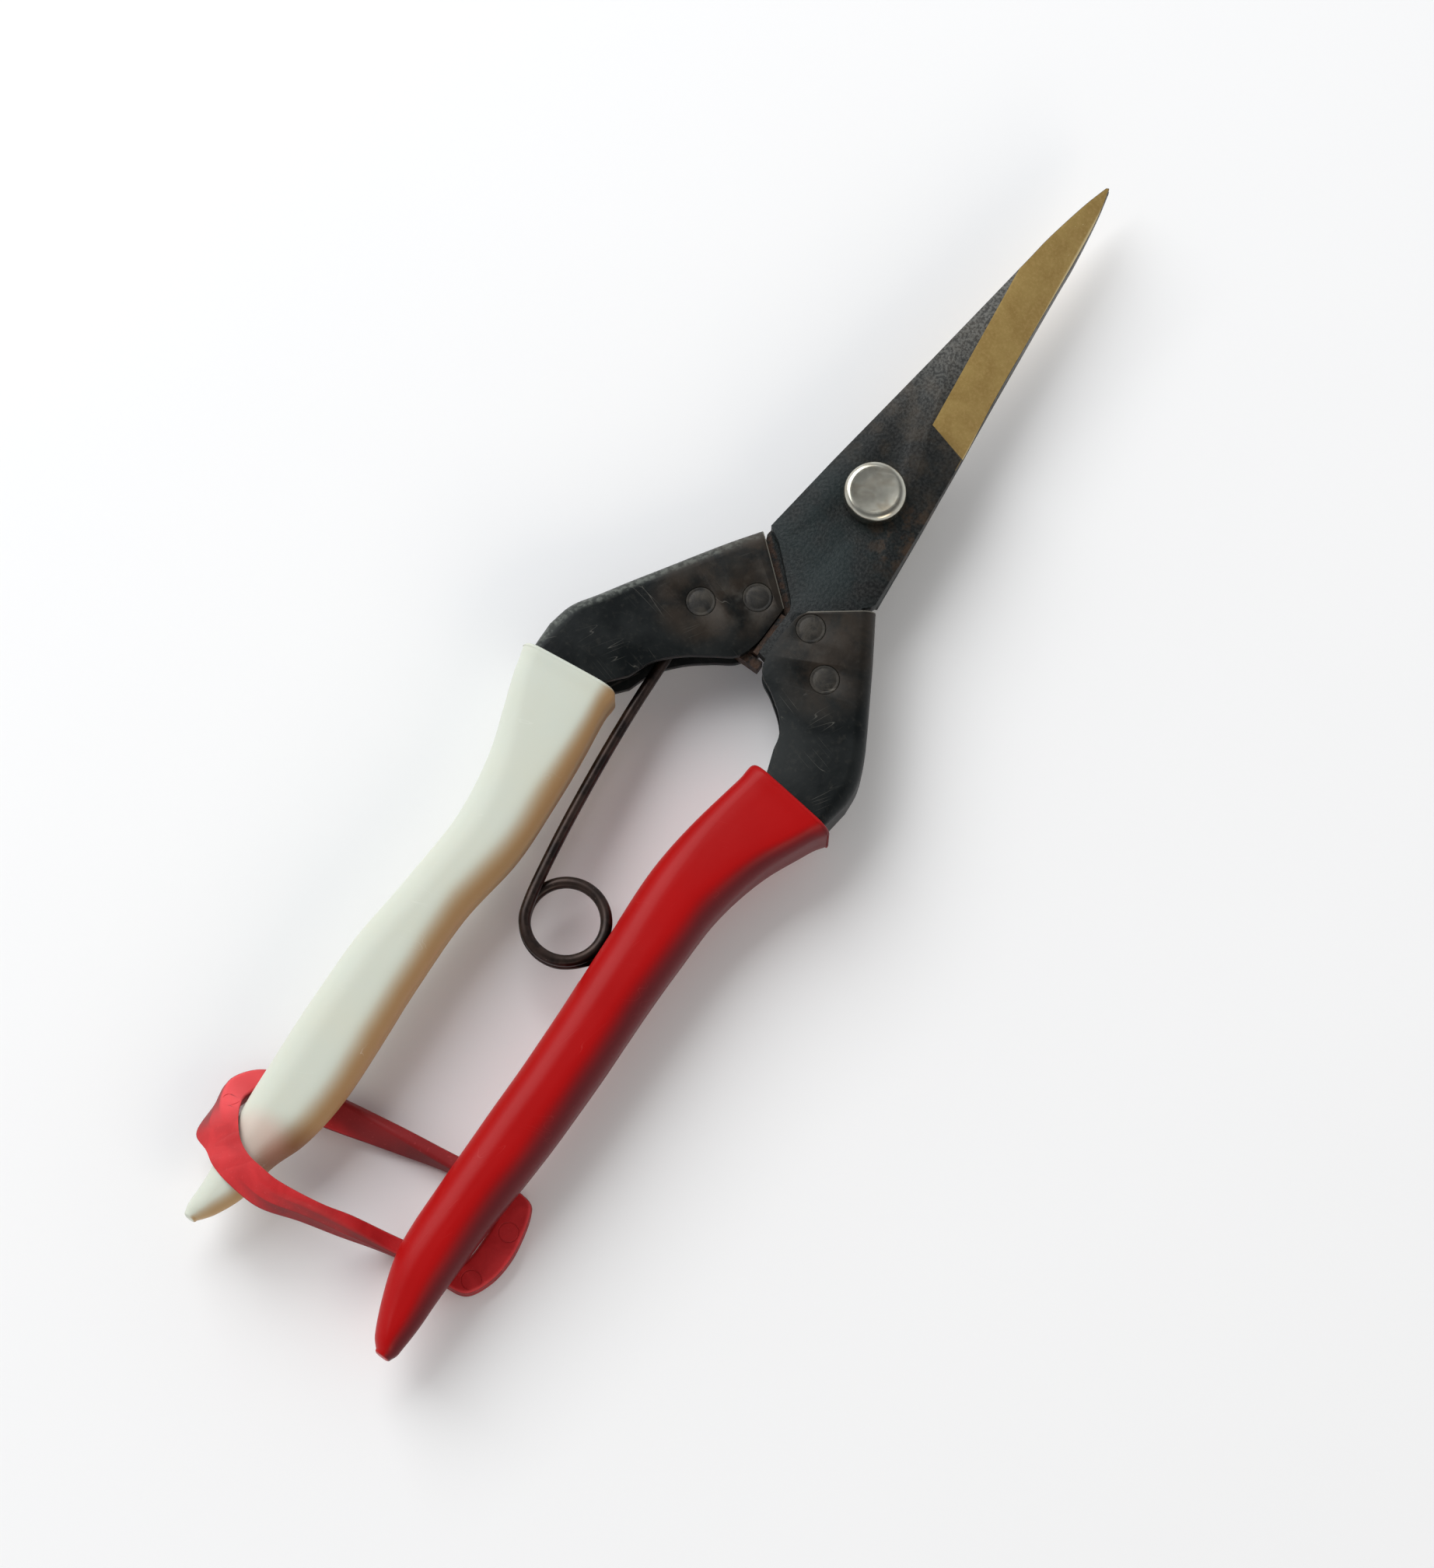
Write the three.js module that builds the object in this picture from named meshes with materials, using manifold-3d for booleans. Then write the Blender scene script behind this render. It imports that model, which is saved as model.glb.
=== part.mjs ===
// Bypass pruner with symmetric straight blades, pressed steel handle shells, soft grips,
// a coiled return spring and a rubber strap ring round the handle ends.
// Millimetres. The pivot axis is the Z axis, the blade tip points to +Y, the red handle is on +X,
// and Z = 0 is the plane that the pivot bolt's end and its nut stand on.
import * as THREE from 'three';
import { ConvexGeometry } from 'three/addons/geometries/ConvexGeometry.js';
import { mergeVertices } from 'three/addons/utils/BufferGeometryUtils.js';
import Module from 'manifold-3d';

const wasm = await Module();
wasm.setup();

// Driving dimensions -----------------------------------------------------------------------------
const NUT_HEIGHT = 4.7;
const NUT_ACROSS_FLATS = 8.0;
const WASHER_RADIUS = 4.5;
const WASHER_THICKNESS = 1.0;
const BLADE_THICKNESS = 2.5;
const SHEET = 1.2; // pressed steel of the handle shells
const HEAD_RADIUS = 4.3;
const HEAD_HEIGHT = 2.8;
const HEAD_EDGE = 1.0; // radius of the head's rounded rim
const SHANK_RADIUS = 2.5;
const RUNNING_GAP = 0.15; // radial gap round the bolt and the rivets
const FACE_GAP = 0.05; // gap between faces that slide or clamp on each other
const MID_Z = 8.4; // plane where the two blades meet, and middle of both grips
const SLIDE_GAP = 0.05; // each blade stands this far off the middle plane

const TIP_Y = 55.4;
const CHEEK_Y = -12.45; // where the blades end and the handle shells begin
const EDGE_LEFT = 0.5; // steel left at the ground cutting edge

const RIVET_RADIUS = 2.05;
const UPPER_RIVETS = { left: [-4.7, -20.7], right: [4.1, -20.6] };
const LOWER_RIVETS = { left: [-10.6, -25.7], right: [9.8, -25.3] };

const GRIP_WALL = 0.8;
const GRIP_FIT = 0.25; // gap between a grip and the shell inside it
const GRIP_CORNER = 3.9; // rounding of the grips' long edges
const GRIP_START_CORNER = 2.3; // the same at the shoulder end
const TANG_FOLD = 2.0; // outer fold of a shell beside the blade's tang
const COIL_CENTRE = new THREE.Vector2(0.85, -72.25);
const COIL_RADIUS = 5.5;
const WIRE_RADIUS = 0.82;

// Heights that follow from the stack on the bolt ---------------------------------------------------
const rearBottom = MID_Z - SLIDE_GAP - BLADE_THICKNESS;
const frontBottom = MID_Z + SLIDE_GAP;
const headBottom = frontBottom + BLADE_THICKNESS + FACE_GAP;
const headTop = headBottom + HEAD_HEIGHT;
const rearSheets = [rearBottom - FACE_GAP - SHEET, MID_Z + SHEET];
const frontSheets = [MID_Z - SHEET, frontBottom + BLADE_THICKNESS + FACE_GAP + SHEET];

// Mesh helpers -------------------------------------------------------------------------------------
function solid(points, triangles) {
  const geometry = new THREE.BufferGeometry();
  geometry.setAttribute('position', new THREE.Float32BufferAttribute(points.flatMap((p) => p.toArray()), 3));
  let volume = 0;
  for (const [a, b, c] of triangles) {
    volume += points[a].dot(new THREE.Vector3().crossVectors(points[b], points[c]));
  }
  const outward = volume > 0 ? triangles : triangles.map(([a, b, c]) => [a, c, b]);
  geometry.setIndex(outward.flat());
  return geometry;
}

// Skin over equal closed rings of points; capFirst and capLast are flat outlines of the end rings.
function loft(rings, capFirst, capLast) {
  const count = rings[0].length;
  const triangles = [];
  for (let r = 0; r + 1 < rings.length; r++) {
    for (let i = 0; i < count; i++) {
      const j = (i + 1) % count;
      const [a, b, c, d] = [r * count + i, r * count + j, (r + 1) * count + j, (r + 1) * count + i];
      triangles.push([a, b, c], [a, c, d]);
    }
  }
  const last = (rings.length - 1) * count;
  for (const [a, b, c] of THREE.ShapeUtils.triangulateShape(capFirst, [])) {
    triangles.push([a, c, b]);
  }
  for (const [a, b, c] of THREE.ShapeUtils.triangulateShape(capLast, [])) {
    triangles.push([last + a, last + b, last + c]);
  }
  return solid(rings.flat(), triangles);
}

// Skin over rings that run round a closed loop.
function loopLoft(rings) {
  const count = rings[0].length;
  const triangles = [];
  for (let r = 0; r < rings.length; r++) {
    const next = (r + 1) % rings.length;
    for (let i = 0; i < count; i++) {
      const j = (i + 1) % count;
      const [a, b, c, d] = [r * count + i, r * count + j, next * count + j, next * count + i];
      triangles.push([a, b, c], [a, c, d]);
    }
  }
  return solid(rings.flat(), triangles);
}

function manifold(geometry) {
  const bare = geometry.clone();
  bare.deleteAttribute('normal');
  bare.deleteAttribute('uv');
  const merged = mergeVertices(bare, 1e-4);
  return new wasm.Manifold(new wasm.Mesh({
    numProp: 3,
    vertProperties: new Float32Array(merged.attributes.position.array),
    triVerts: new Uint32Array(merged.index.array),
  }));
}

function fromManifold(body) {
  const mesh = body.getMesh();
  const geometry = new THREE.BufferGeometry();
  geometry.setAttribute('position', new THREE.Float32BufferAttribute(mesh.vertProperties, 3));
  geometry.setIndex(new THREE.Uint32BufferAttribute(mesh.triVerts, 1));
  return geometry;
}

function cut(geometry, tools) {
  return fromManifold(tools.reduce((body, tool) => body.subtract(manifold(tool)), manifold(geometry)));
}

function box(low, high) {
  const size = high.map((v, i) => v - low[i]);
  const geometry = new THREE.BoxGeometry(...size);
  return geometry.translate(...low.map((v, i) => v + size[i] / 2));
}

function post([x, y], radius, bottom, top, sides = 20) {
  const geometry = new THREE.CylinderGeometry(radius, radius, top - bottom, sides);
  return geometry.rotateX(Math.PI / 2).translate(x, y, (bottom + top) / 2);
}

function turned(profile, sides) {
  return new THREE.LatheGeometry(profile.map(([r, z]) => new THREE.Vector2(r, z)), sides).rotateX(Math.PI / 2);
}

function plate(shape, bottom, thickness, curveSegments = 5) {
  const geometry = new THREE.ExtrudeGeometry(shape, { depth: thickness, bevelEnabled: false, curveSegments });
  return geometry.translate(0, 0, bottom);
}

function corner(centreX, centreZ, radius, fromDeg, toDeg, steps) {
  return Array.from({ length: steps + 1 }, (_, i) => {
    const angle = THREE.MathUtils.degToRad(THREE.MathUtils.lerp(fromDeg, toDeg, i / steps));
    return new THREE.Vector2(centreX + radius * Math.cos(angle), centreZ + radius * Math.sin(angle));
  });
}

// Blades -------------------------------------------------------------------------------------------
// Outline of the front blade and its tang. The rear blade is the same outline mirrored in X.
function bladeShape() {
  const shape = new THREE.Shape();
  shape.moveTo(0.1, TIP_Y);
  shape.splineThru([[1.0, 52.2], [1.75, 48.2], [2.8, 39.9], [3.75, 31.6], [5.0, 21.3], [6.45, 12.1]]
    .map(([x, y]) => new THREE.Vector2(x, y)));
  shape.lineTo(7.8, 0.8);
  shape.lineTo(9.05, CHEEK_Y);
  shape.lineTo(8.7, CHEEK_Y - 0.75);
  shape.lineTo(7.9, CHEEK_Y - 1.5);
  shape.lineTo(13.2, -22.4);
  shape.quadraticCurveTo(15.0, -26.2, 12.0, -28.2);
  shape.lineTo(6.6, -29.0);
  shape.quadraticCurveTo(3.6, -29.0, 2.2, -27.6);
  shape.lineTo(0.15, -27.1);
  shape.lineTo(0.15, -20.2);
  shape.quadraticCurveTo(0.1, -19.3, -1.2, -18.1);
  shape.lineTo(-3.7, -15.7);
  shape.lineTo(-6.7, -13.0);
  shape.lineTo(-8.95, CHEEK_Y + 0.75);
  shape.lineTo(-7.55, 0.8);
  shape.lineTo(-5.0, 20.9);
  shape.lineTo(-2.8, 39.4);
  shape.splineThru([[-2.4, 43.5], [-1.8, 47.6], [-1.05, 51.8], [-0.25, TIP_Y - 0.25]]
    .map(([x, y]) => new THREE.Vector2(x, y)));
  shape.closePath();
  return shape;
}

// The grinding that leaves the bevel: everything above a plane that falls from the ridge line,
// level with the face, to the cutting edge.
function bevelCutter(bottom) {
  const ridge = (y) => 0.3 - 0.138 * (y - 14.8);
  const slope = (BLADE_THICKNESS - EDGE_LEFT) / 6.0;
  const top = bottom + BLADE_THICKNESS;
  const reach = 12;
  const lift = 1.5;
  const heel = 12.8;
  const beyond = TIP_Y + 4;
  const heelSlope = -0.2;
  const points = [];
  for (const [y, run] of [[heel, heelSlope], [beyond, 0]]) {
    points.push(new THREE.Vector3(ridge(y), y, top));
    points.push(new THREE.Vector3(ridge(y) + reach, y + run * reach, top - slope * reach));
    points.push(new THREE.Vector3(ridge(y) - lift, y - (run ? lift : 0), top + lift));
    points.push(new THREE.Vector3(ridge(y) + reach, y + run * reach - (run ? lift : 0), top + lift));
  }
  return new ConvexGeometry(points);
}

function bladeHoles(rivets, bottom) {
  const holes = [post([0, 0], SHANK_RADIUS + RUNNING_GAP, bottom - 1, bottom + BLADE_THICKNESS + 1, 32)];
  for (const at of rivets) {
    holes.push(post(at, RIVET_RADIUS + RUNNING_GAP, bottom - 1, bottom + BLADE_THICKNESS + 1));
  }
  return holes;
}

function frontBlade() {
  const blank = plate(bladeShape(), frontBottom, BLADE_THICKNESS);
  const holes = bladeHoles([UPPER_RIVETS.right, LOWER_RIVETS.right], frontBottom);
  return cut(blank, [bevelCutter(frontBottom), ...holes]);
}

// The rear blade is the front blade turned over about Y, with a stop lug for the front tang.
function rearBlade() {
  const turnedOver = plate(bladeShape(), frontBottom, BLADE_THICKNESS);
  const ground = cut(turnedOver, [bevelCutter(frontBottom)]).rotateY(Math.PI).translate(0, 0, 2 * MID_Z);
  const lug = box([-0.75, -27.2, MID_Z - 1.5], [0.0, -20.6, MID_Z + 0.9]);
  const foot = box([-3.0, -28.7, rearBottom], [1.0, -27.4, rearBottom + BLADE_THICKNESS]);
  const joined = manifold(ground).add(manifold(lug)).add(manifold(foot));
  return cut(fromManifold(joined), bladeHoles([UPPER_RIVETS.left, LOWER_RIVETS.left], rearBottom));
}

// Stations of the handles --------------------------------------------------------------------------
// Each station is a flat cut through a handle: outer point, inner point, bottom and top height,
// and the radius of its rounded edges.
function station(outerX, outerY, innerX, innerY, bottom, top, round = TANG_FOLD) {
  const [outer, inner] = [new THREE.Vector2(outerX, outerY), new THREE.Vector2(innerX, innerY)];
  return { outer, inner, bottom, top, round };
}

function gripStation(outerX, outerY, innerX, innerY, thickness) {
  const along = THREE.MathUtils.smoothstep(-outerY, 42, 66);
  const round = THREE.MathUtils.lerp(GRIP_START_CORNER, GRIP_CORNER, along);
  return station(outerX, outerY, innerX, innerY, MID_Z - thickness / 2, MID_Z + thickness / 2, round);
}

const whiteGripStations = [
  gripStation(-25.85, -44.75, -12.3, -43.2, 10.6),
  gripStation(-25.2, -48.0, -11.8, -47.0, 10.6),
  gripStation(-23.2, -53.5, -10.8, -53.2, 10.5),
  gripStation(-21.0, -60.0, -10.0, -60.0, 10.4),
  gripStation(-19.4, -69.0, -9.4, -69.0, 10.3),
  gripStation(-19.75, -80.0, -10.5, -80.0, 10.2),
  gripStation(-20.4, -91.0, -9.95, -91.0, 10.0),
  gripStation(-20.1, -101.0, -9.1, -101.0, 9.4),
  gripStation(-19.5, -110.5, -8.55, -110.5, 8.4),
  gripStation(-18.9, -117.4, -9.3, -117.4, 7.4),
  gripStation(-18.2, -122.0, -10.75, -122.0, 6.4),
  gripStation(-17.2, -128.0, -11.6, -128.0, 4.9),
  gripStation(-17.0, -131.6, -13.1, -131.6, 4.2),
  gripStation(-16.9, -132.8, -13.9, -132.8, 3.6),
  gripStation(-16.6, -134.1, -14.7, -134.1, 2.4),
];

const redGripStations = [
  gripStation(22.64, -41.95, 9.14, -40.35, 10.6),
  gripStation(21.0, -45.6, 8.2, -45.0, 10.6),
  gripStation(18.6, -51.6, 7.0, -51.5, 10.5),
  gripStation(17.0, -60.0, 6.25, -60.0, 10.4),
  gripStation(16.95, -69.0, 6.7, -69.0, 10.3),
  gripStation(17.3, -80.0, 7.5, -80.0, 10.2),
  gripStation(17.7, -91.0, 8.05, -91.0, 10.0),
  gripStation(17.85, -101.0, 8.3, -101.0, 9.4),
  gripStation(17.6, -110.5, 8.55, -110.5, 8.6),
  gripStation(17.6, -117.4, 8.85, -117.4, 7.8),
  gripStation(17.6, -122.3, 9.6, -122.3, 6.8),
  gripStation(17.8, -128.0, 11.6, -128.0, 5.2),
  gripStation(17.7, -131.6, 13.3, -131.6, 4.4),
  gripStation(17.65, -132.7, 14.0, -132.7, 3.8),
  gripStation(17.3, -133.9, 14.9, -133.9, 2.6),
];

const [rearLow, rearHigh] = rearSheets;
const leftShoulderStations = [
  station(-9.9, -12.3, -0.9, -19.8, rearLow, rearHigh),
  station(-12.4, -15.95, -0.9, -22.2, rearLow, rearHigh),
  station(-14.5, -19.25, -0.95, -25.5, rearLow, rearHigh),
  station(-17.5, -24.15, -2.0, -28.8, rearLow, rearHigh),
  station(-20.2, -28.6, -4.9, -31.0, rearLow, rearHigh + 0.2),
  station(-22.5, -33.0, -7.9, -33.5, rearLow - 0.1, rearHigh + 1.2),
  station(-24.4, -36.8, -10.6, -36.9, rearLow - 0.2, rearHigh + 2.4),
  station(-25.1, -40.5, -11.9, -40.4, rearLow - 0.4, rearHigh + 2.9),
];

const [frontLow, frontHigh] = frontSheets;
const rightShoulderStations = [
  station(9.75, -13.3, 2.45, -18.85, frontLow, frontHigh),
  station(10.3, -14.2, 1.75, -20.1, frontLow, frontHigh),
  station(11.6, -16.2, 1.5, -22.2, frontLow, frontHigh),
  station(13.7, -19.5, 1.45, -25.5, frontLow, frontHigh),
  station(16.2, -23.6, 2.2, -29.2, frontLow, frontHigh),
  station(18.5, -27.4, 5.1, -31.0, frontLow - 0.3, frontHigh),
  station(20.5, -31.0, 7.8, -33.0, frontLow - 1.4, frontHigh),
  station(21.9, -34.6, 9.4, -35.3, frontLow - 2.5, frontHigh),
  station(22.2, -37.6, 9.9, -37.2, frontLow - 2.9, frontHigh),
];

function inset({ outer, inner, bottom, top, round }, by) {
  const across = inner.clone().sub(outer).normalize().multiplyScalar(by);
  return {
    outer: outer.clone().add(across), inner: inner.clone().sub(across),
    bottom: bottom + by, top: top - by, round: round - by,
  };
}

// Extra stations on a smooth curve through the given ones.
function refined(stations, perSpan) {
  const curve = (side, height) => new THREE.CatmullRomCurve3(
    stations.map((s) => new THREE.Vector3(s[side].x, s[side].y, s[height])));
  const [outer, inner] = [curve('outer', 'bottom'), curve('inner', 'top')];
  const steps = (stations.length - 1) * perSpan;
  return Array.from({ length: steps + 1 }, (_, i) => {
    const [a, b] = [outer.getPoint(i / steps), inner.getPoint(i / steps)];
    const [from, to] = [Math.floor(i / perSpan), Math.ceil(i / perSpan)].map((k) => stations[k].round);
    return station(a.x, a.y, b.x, b.y, a.z, b.z, THREE.MathUtils.lerp(from, to, (i % perSpan) / perSpan));
  });
}

// Puts a flat outline (distance from the outer point, height) into the station's plane.
function placed({ outer, inner }, outline) {
  const across = inner.clone().sub(outer).normalize();
  return outline.map((p) => new THREE.Vector3(outer.x + across.x * p.x, outer.y + across.y * p.x, p.y));
}

function gripOutline({ outer, inner, bottom, top, round }) {
  const cornerSteps = 3;
  const width = inner.distanceTo(outer);
  const radius = Math.min(round, width * 0.48, (top - bottom) * 0.48);
  return [
    ...corner(width - radius, top - radius, radius, 0, 90, cornerSteps),
    ...corner(radius, top - radius, radius, 90, 180, cornerSteps),
    ...corner(radius, bottom + radius, radius, 180, 270, cornerSteps),
    ...corner(width - radius, bottom + radius, radius, 270, 360, cornerSteps),
  ];
}

// A soft sleeve, open at the shoulder end and closed at the tip.
const PER_SPAN = 2;

function grip(stations) {
  const outside = refined(stations, PER_SPAN);
  const hollow = outside.slice(0, PER_SPAN * (stations.length - 5) + 1).map((s) => inset(s, GRIP_WALL));
  const order = [...outside.reverse(), ...hollow];
  const outlines = order.map((s) => gripOutline(s));
  return loft(order.map((s, i) => placed(s, outlines[i])), outlines[0], outlines.at(-1));
}

// Channel section of a handle shell, open towards the inner side.
function channelOutline({ outer, inner, bottom, top, round }) {
  const width = inner.distanceTo(outer);
  const foldRadius = Math.min(round, (top - bottom) * 0.45);
  const steps = 3;
  const within = foldRadius - SHEET;
  return [
    new THREE.Vector2(width, top),
    ...corner(foldRadius, top - foldRadius, foldRadius, 90, 180, steps),
    ...corner(foldRadius, bottom + foldRadius, foldRadius, 180, 270, steps),
    new THREE.Vector2(width, bottom),
    new THREE.Vector2(width, bottom + SHEET),
    ...corner(foldRadius, bottom + foldRadius, within, 270, 180, steps),
    ...corner(foldRadius, top - foldRadius, within, 180, 90, steps),
    new THREE.Vector2(width, top - SHEET),
  ];
}

// Pressed shell: flat sheets round the tang, then a channel that runs inside the grip.
function handleShell(shoulder, gripStations, rivets) {
  const inside = refined(gripStations, PER_SPAN).slice(0, PER_SPAN * 9).map((s) => {
    const fitted = inset(s, GRIP_WALL + GRIP_FIT);
    const back = fitted.outer.clone().sub(fitted.inner).normalize().multiplyScalar(0.8 * fitted.round);
    return { ...fitted, inner: fitted.inner.add(back) };
  });
  const stations = [...refined(shoulder, PER_SPAN), ...inside];
  const outlines = stations.map((s) => channelOutline(s));
  const shell = loft(stations.map((s, i) => placed(s, outlines[i])), outlines[0], outlines.at(-1));
  return cut(shell, rivets.map((at) => post(at, RIVET_RADIUS + RUNNING_GAP, 0, headTop)));
}

function rivet([x, y], [low, high]) {
  const chamfer = 0.15;
  return turned([
    [0, low], [RIVET_RADIUS - chamfer, low], [RIVET_RADIUS, low + chamfer],
    [RIVET_RADIUS, high - chamfer], [RIVET_RADIUS - chamfer, high], [0, high],
  ], 20).translate(x, y, 0);
}

// Pivot --------------------------------------------------------------------------------------------
function pivotBolt() {
  const chamfer = 0.4;
  const rim = corner(HEAD_RADIUS - HEAD_EDGE, headTop - HEAD_EDGE, HEAD_EDGE, 0, 90, 4);
  return turned([
    [0, 0], [SHANK_RADIUS - chamfer, 0], [SHANK_RADIUS, chamfer], [SHANK_RADIUS, headBottom],
    [HEAD_RADIUS, headBottom], ...rim.map((p) => [p.x, p.y]), [0, headTop],
  ], 36);
}

function pivotNut() {
  const shape = new THREE.Shape();
  const outerRadius = NUT_ACROSS_FLATS / Math.sqrt(3);
  for (let i = 0; i < 6; i++) {
    const angle = (i * Math.PI) / 3;
    shape[i ? 'lineTo' : 'moveTo'](outerRadius * Math.cos(angle), outerRadius * Math.sin(angle));
  }
  const hole = new THREE.Path();
  hole.absarc(0, 0, SHANK_RADIUS + RUNNING_GAP, 0, 2 * Math.PI, true);
  shape.holes.push(hole);
  return plate(shape, 0, NUT_HEIGHT, 16);
}

function pivotWasher() {
  const bottom = NUT_HEIGHT + FACE_GAP;
  return cut(post([0, 0], WASHER_RADIUS, bottom, bottom + WASHER_THICKNESS, 32),
    [post([0, 0], SHANK_RADIUS + RUNNING_GAP, 0, headTop, 32)]);
}

// Return spring ------------------------------------------------------------------------------------
// One wire: short leg in the red handle, one and a third turns, long leg into the white handle's shell.
const COIL_START = -45;
const COIL_END = -530;
const COIL_LOW = 7.3;
const COIL_PITCH = 1.75;

function coilPoint(deg) {
  const angle = THREE.MathUtils.degToRad(deg);
  const height = COIL_LOW + (COIL_PITCH * (COIL_START - deg)) / 360;
  return new THREE.Vector3(COIL_CENTRE.x + COIL_RADIUS * Math.cos(angle),
    COIL_CENTRE.y + COIL_RADIUS * Math.sin(angle), height);
}

function springPath() {
  const points = [new THREE.Vector3(12.4, -65.4, COIL_LOW), new THREE.Vector3(10.6, -69.3, COIL_LOW),
    new THREE.Vector3(7.7, -72.7, COIL_LOW)];
  for (let deg = COIL_START; deg >= COIL_END; deg -= 24.25) {
    points.push(coilPoint(deg));
  }
  points.push(new THREE.Vector3(-6.3, -65.0, 9.5), new THREE.Vector3(-7.9, -55.0, 9.1),
    new THREE.Vector3(-9.2, -44.5, 8.6), new THREE.Vector3(-9.9, -36.5, 7.9),
    new THREE.Vector3(-10.2, -31.6, 7.2));
  return new THREE.CatmullRomCurve3(points);
}

function returnSpring() {
  const wire = new THREE.Shape();
  wire.absarc(0, 0, WIRE_RADIUS, 0, 2 * Math.PI, false);
  return new THREE.ExtrudeGeometry(wire, {
    steps: 84, curveSegments: 4, bevelEnabled: false, extrudePath: springPath(),
  });
}

// Strap ring ---------------------------------------------------------------------------------------
// Stations round the moulded band: its outer top edge, its inner top edge, and the way down its side.
// The left end leans over the white handle's edge.
const strapStations = [
  [[21.5, -112.9, 3.4], [16.9, -112.9, 3.4], [0, 0, -3.2]],
  [[20.9, -109.2, 3.4], [16.7, -110.2, 3.4], [0, 0, -3.2]],
  [[20.1, -106.6, 3.4], [16.3, -108.8, 3.4], [0, 0, -3.2]],
  [[19.2, -105.2, 3.4], [15.6, -108.0, 3.4], [0, 0, -3.2]],
  [[17.2, -104.8, 3.4], [14.4, -107.5, 3.4], [0, 0, -3.2]],
  [[13.0, -104.8, 3.4], [11.6, -107.4, 3.4], [0, 0, -3.2]],
  [[7.4, -105.6, 3.3], [7.4, -107.8, 3.5], [0, -0.3, -3.2]],
  [[-1.0, -106.7, 3.4], [-1.0, -108.4, 4.3], [0, -2.3, -3.2]],
  [[-9.2, -108.0, 2.2], [-9.2, -108.9, 3.8], [0, -4.2, -1.9]],
  [[-15.4, -109.2, 1.7], [-14.9, -110.4, 3.4], [-0.2, -4.0, -1.4]],
  [[-21.0, -111.3, 2.6], [-19.0, -113.2, 3.9], [-0.5, -2.5, -2.2]],
  [[-23.2, -114.8, 4.6], [-19.7, -115.4, 5.2], [-0.6, -1.6, -3.6]],
  [[-22.5, -118.3, 7.0], [-19.3, -117.6, 8.8], [-0.7, -1.2, -4.0]],
  [[-19.6, -121.0, 10.0], [-16.85, -120.9, 12.4], [-2.8, -3.4, -4.0]],
  [[-17.0, -122.9, 11.4], [-15.3, -122.2, 13.0], [-2.6, -2.8, -3.0]],
  [[-14.2, -124.2, 13.0], [-13.2, -123.1, 14.1], [-3.0, -2.9, -2.7]],
  [[-11.3, -124.9, 14.2], [-10.9, -123.4, 14.8], [-2.6, -3.1, -2.8]],
  [[-8.0, -125.2, 14.6], [-8.3, -123.5, 14.4], [-1.2, -3.1, -3.2]],
  [[-2.8, -124.0, 12.4], [-2.3, -122.4, 11.9], [-0.6, -2.2, -3.3]],
  [[1.5, -122.9, 9.0], [1.6, -120.9, 8.5], [-0.1, -1.5, -3.4]],
  [[6.9, -121.7, 4.2], [6.9, -119.4, 4.0], [0, -0.3, -3.3]],
  [[11.0, -121.0, 3.4], [11.2, -118.5, 3.4], [0, 0, -3.2]],
  [[16.0, -120.8, 3.4], [14.4, -118.0, 3.4], [0, 0, -3.2]],
  [[19.4, -120.1, 3.4], [16.4, -117.2, 3.4], [0, 0, -3.2]],
  [[21.1, -116.9, 3.4], [16.9, -115.5, 3.4], [0, 0, -3.2]],
].map((row) => row.map((p) => new THREE.Vector3(...p)));

// Rounded four-sided section of the band.
function strapSection(outerTop, innerTop, down) {
  const rounding = 0.6;
  const across = innerTop.clone().sub(outerTop);
  const [width, height] = [across.length(), down.length()];
  return [
    ...corner(rounding, height - rounding, rounding, 180, 90, 2),
    ...corner(width - rounding, height - rounding, rounding, 90, 0, 2),
    ...corner(width - rounding, rounding, rounding, 0, -90, 2),
    ...corner(rounding, rounding, rounding, 270, 180, 2),
  ].map((p) => outerTop.clone().addScaledVector(across, p.x / width).addScaledVector(down, p.y / height));
}

function strapRing() {
  const perSpan = 2;
  const total = strapStations.length * perSpan;
  const edges = [0, 1, 2].map((k) => new THREE.CatmullRomCurve3(strapStations.map((row) => row[k]), true));
  return loopLoft(Array.from({ length: total }, (_, i) => {
    const [outerTop, innerTop, down] = edges.map((edge) => edge.getPoint(i / total));
    return strapSection(outerTop, innerTop, down);
  }));
}

// Assembly -----------------------------------------------------------------------------------------
function material(color, roughness, metalness) {
  return new THREE.MeshStandardMaterial({ color, roughness, metalness });
}

const bladeSteel = () => material(0x2b3033, 0.5, 0.9);
const shellSteel = () => material(0x33302e, 0.5, 0.9);
const brightSteel = () => material(0xb9b6ae, 0.25, 1.0);
const springSteel = () => material(0x241c18, 0.4, 0.9);
const whiteVinyl = () => material(0xd7dacd, 0.4, 0.0);
const redVinyl = () => material(0xaf1414, 0.3, 0.0);
const strapRubber = () => material(0xc8282d, 0.55, 0.0);

const group = new THREE.Group();

function add(name, geometry, finish) {
  const mesh = new THREE.Mesh(geometry, finish);
  mesh.name = name;
  group.add(mesh);
}

add('front_blade', frontBlade(), bladeSteel());
add('rear_blade', rearBlade(), bladeSteel());
add('pivot_bolt', pivotBolt(), brightSteel());
add('pivot_washer', pivotWasher(), brightSteel());
add('pivot_nut', pivotNut(), brightSteel());

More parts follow.
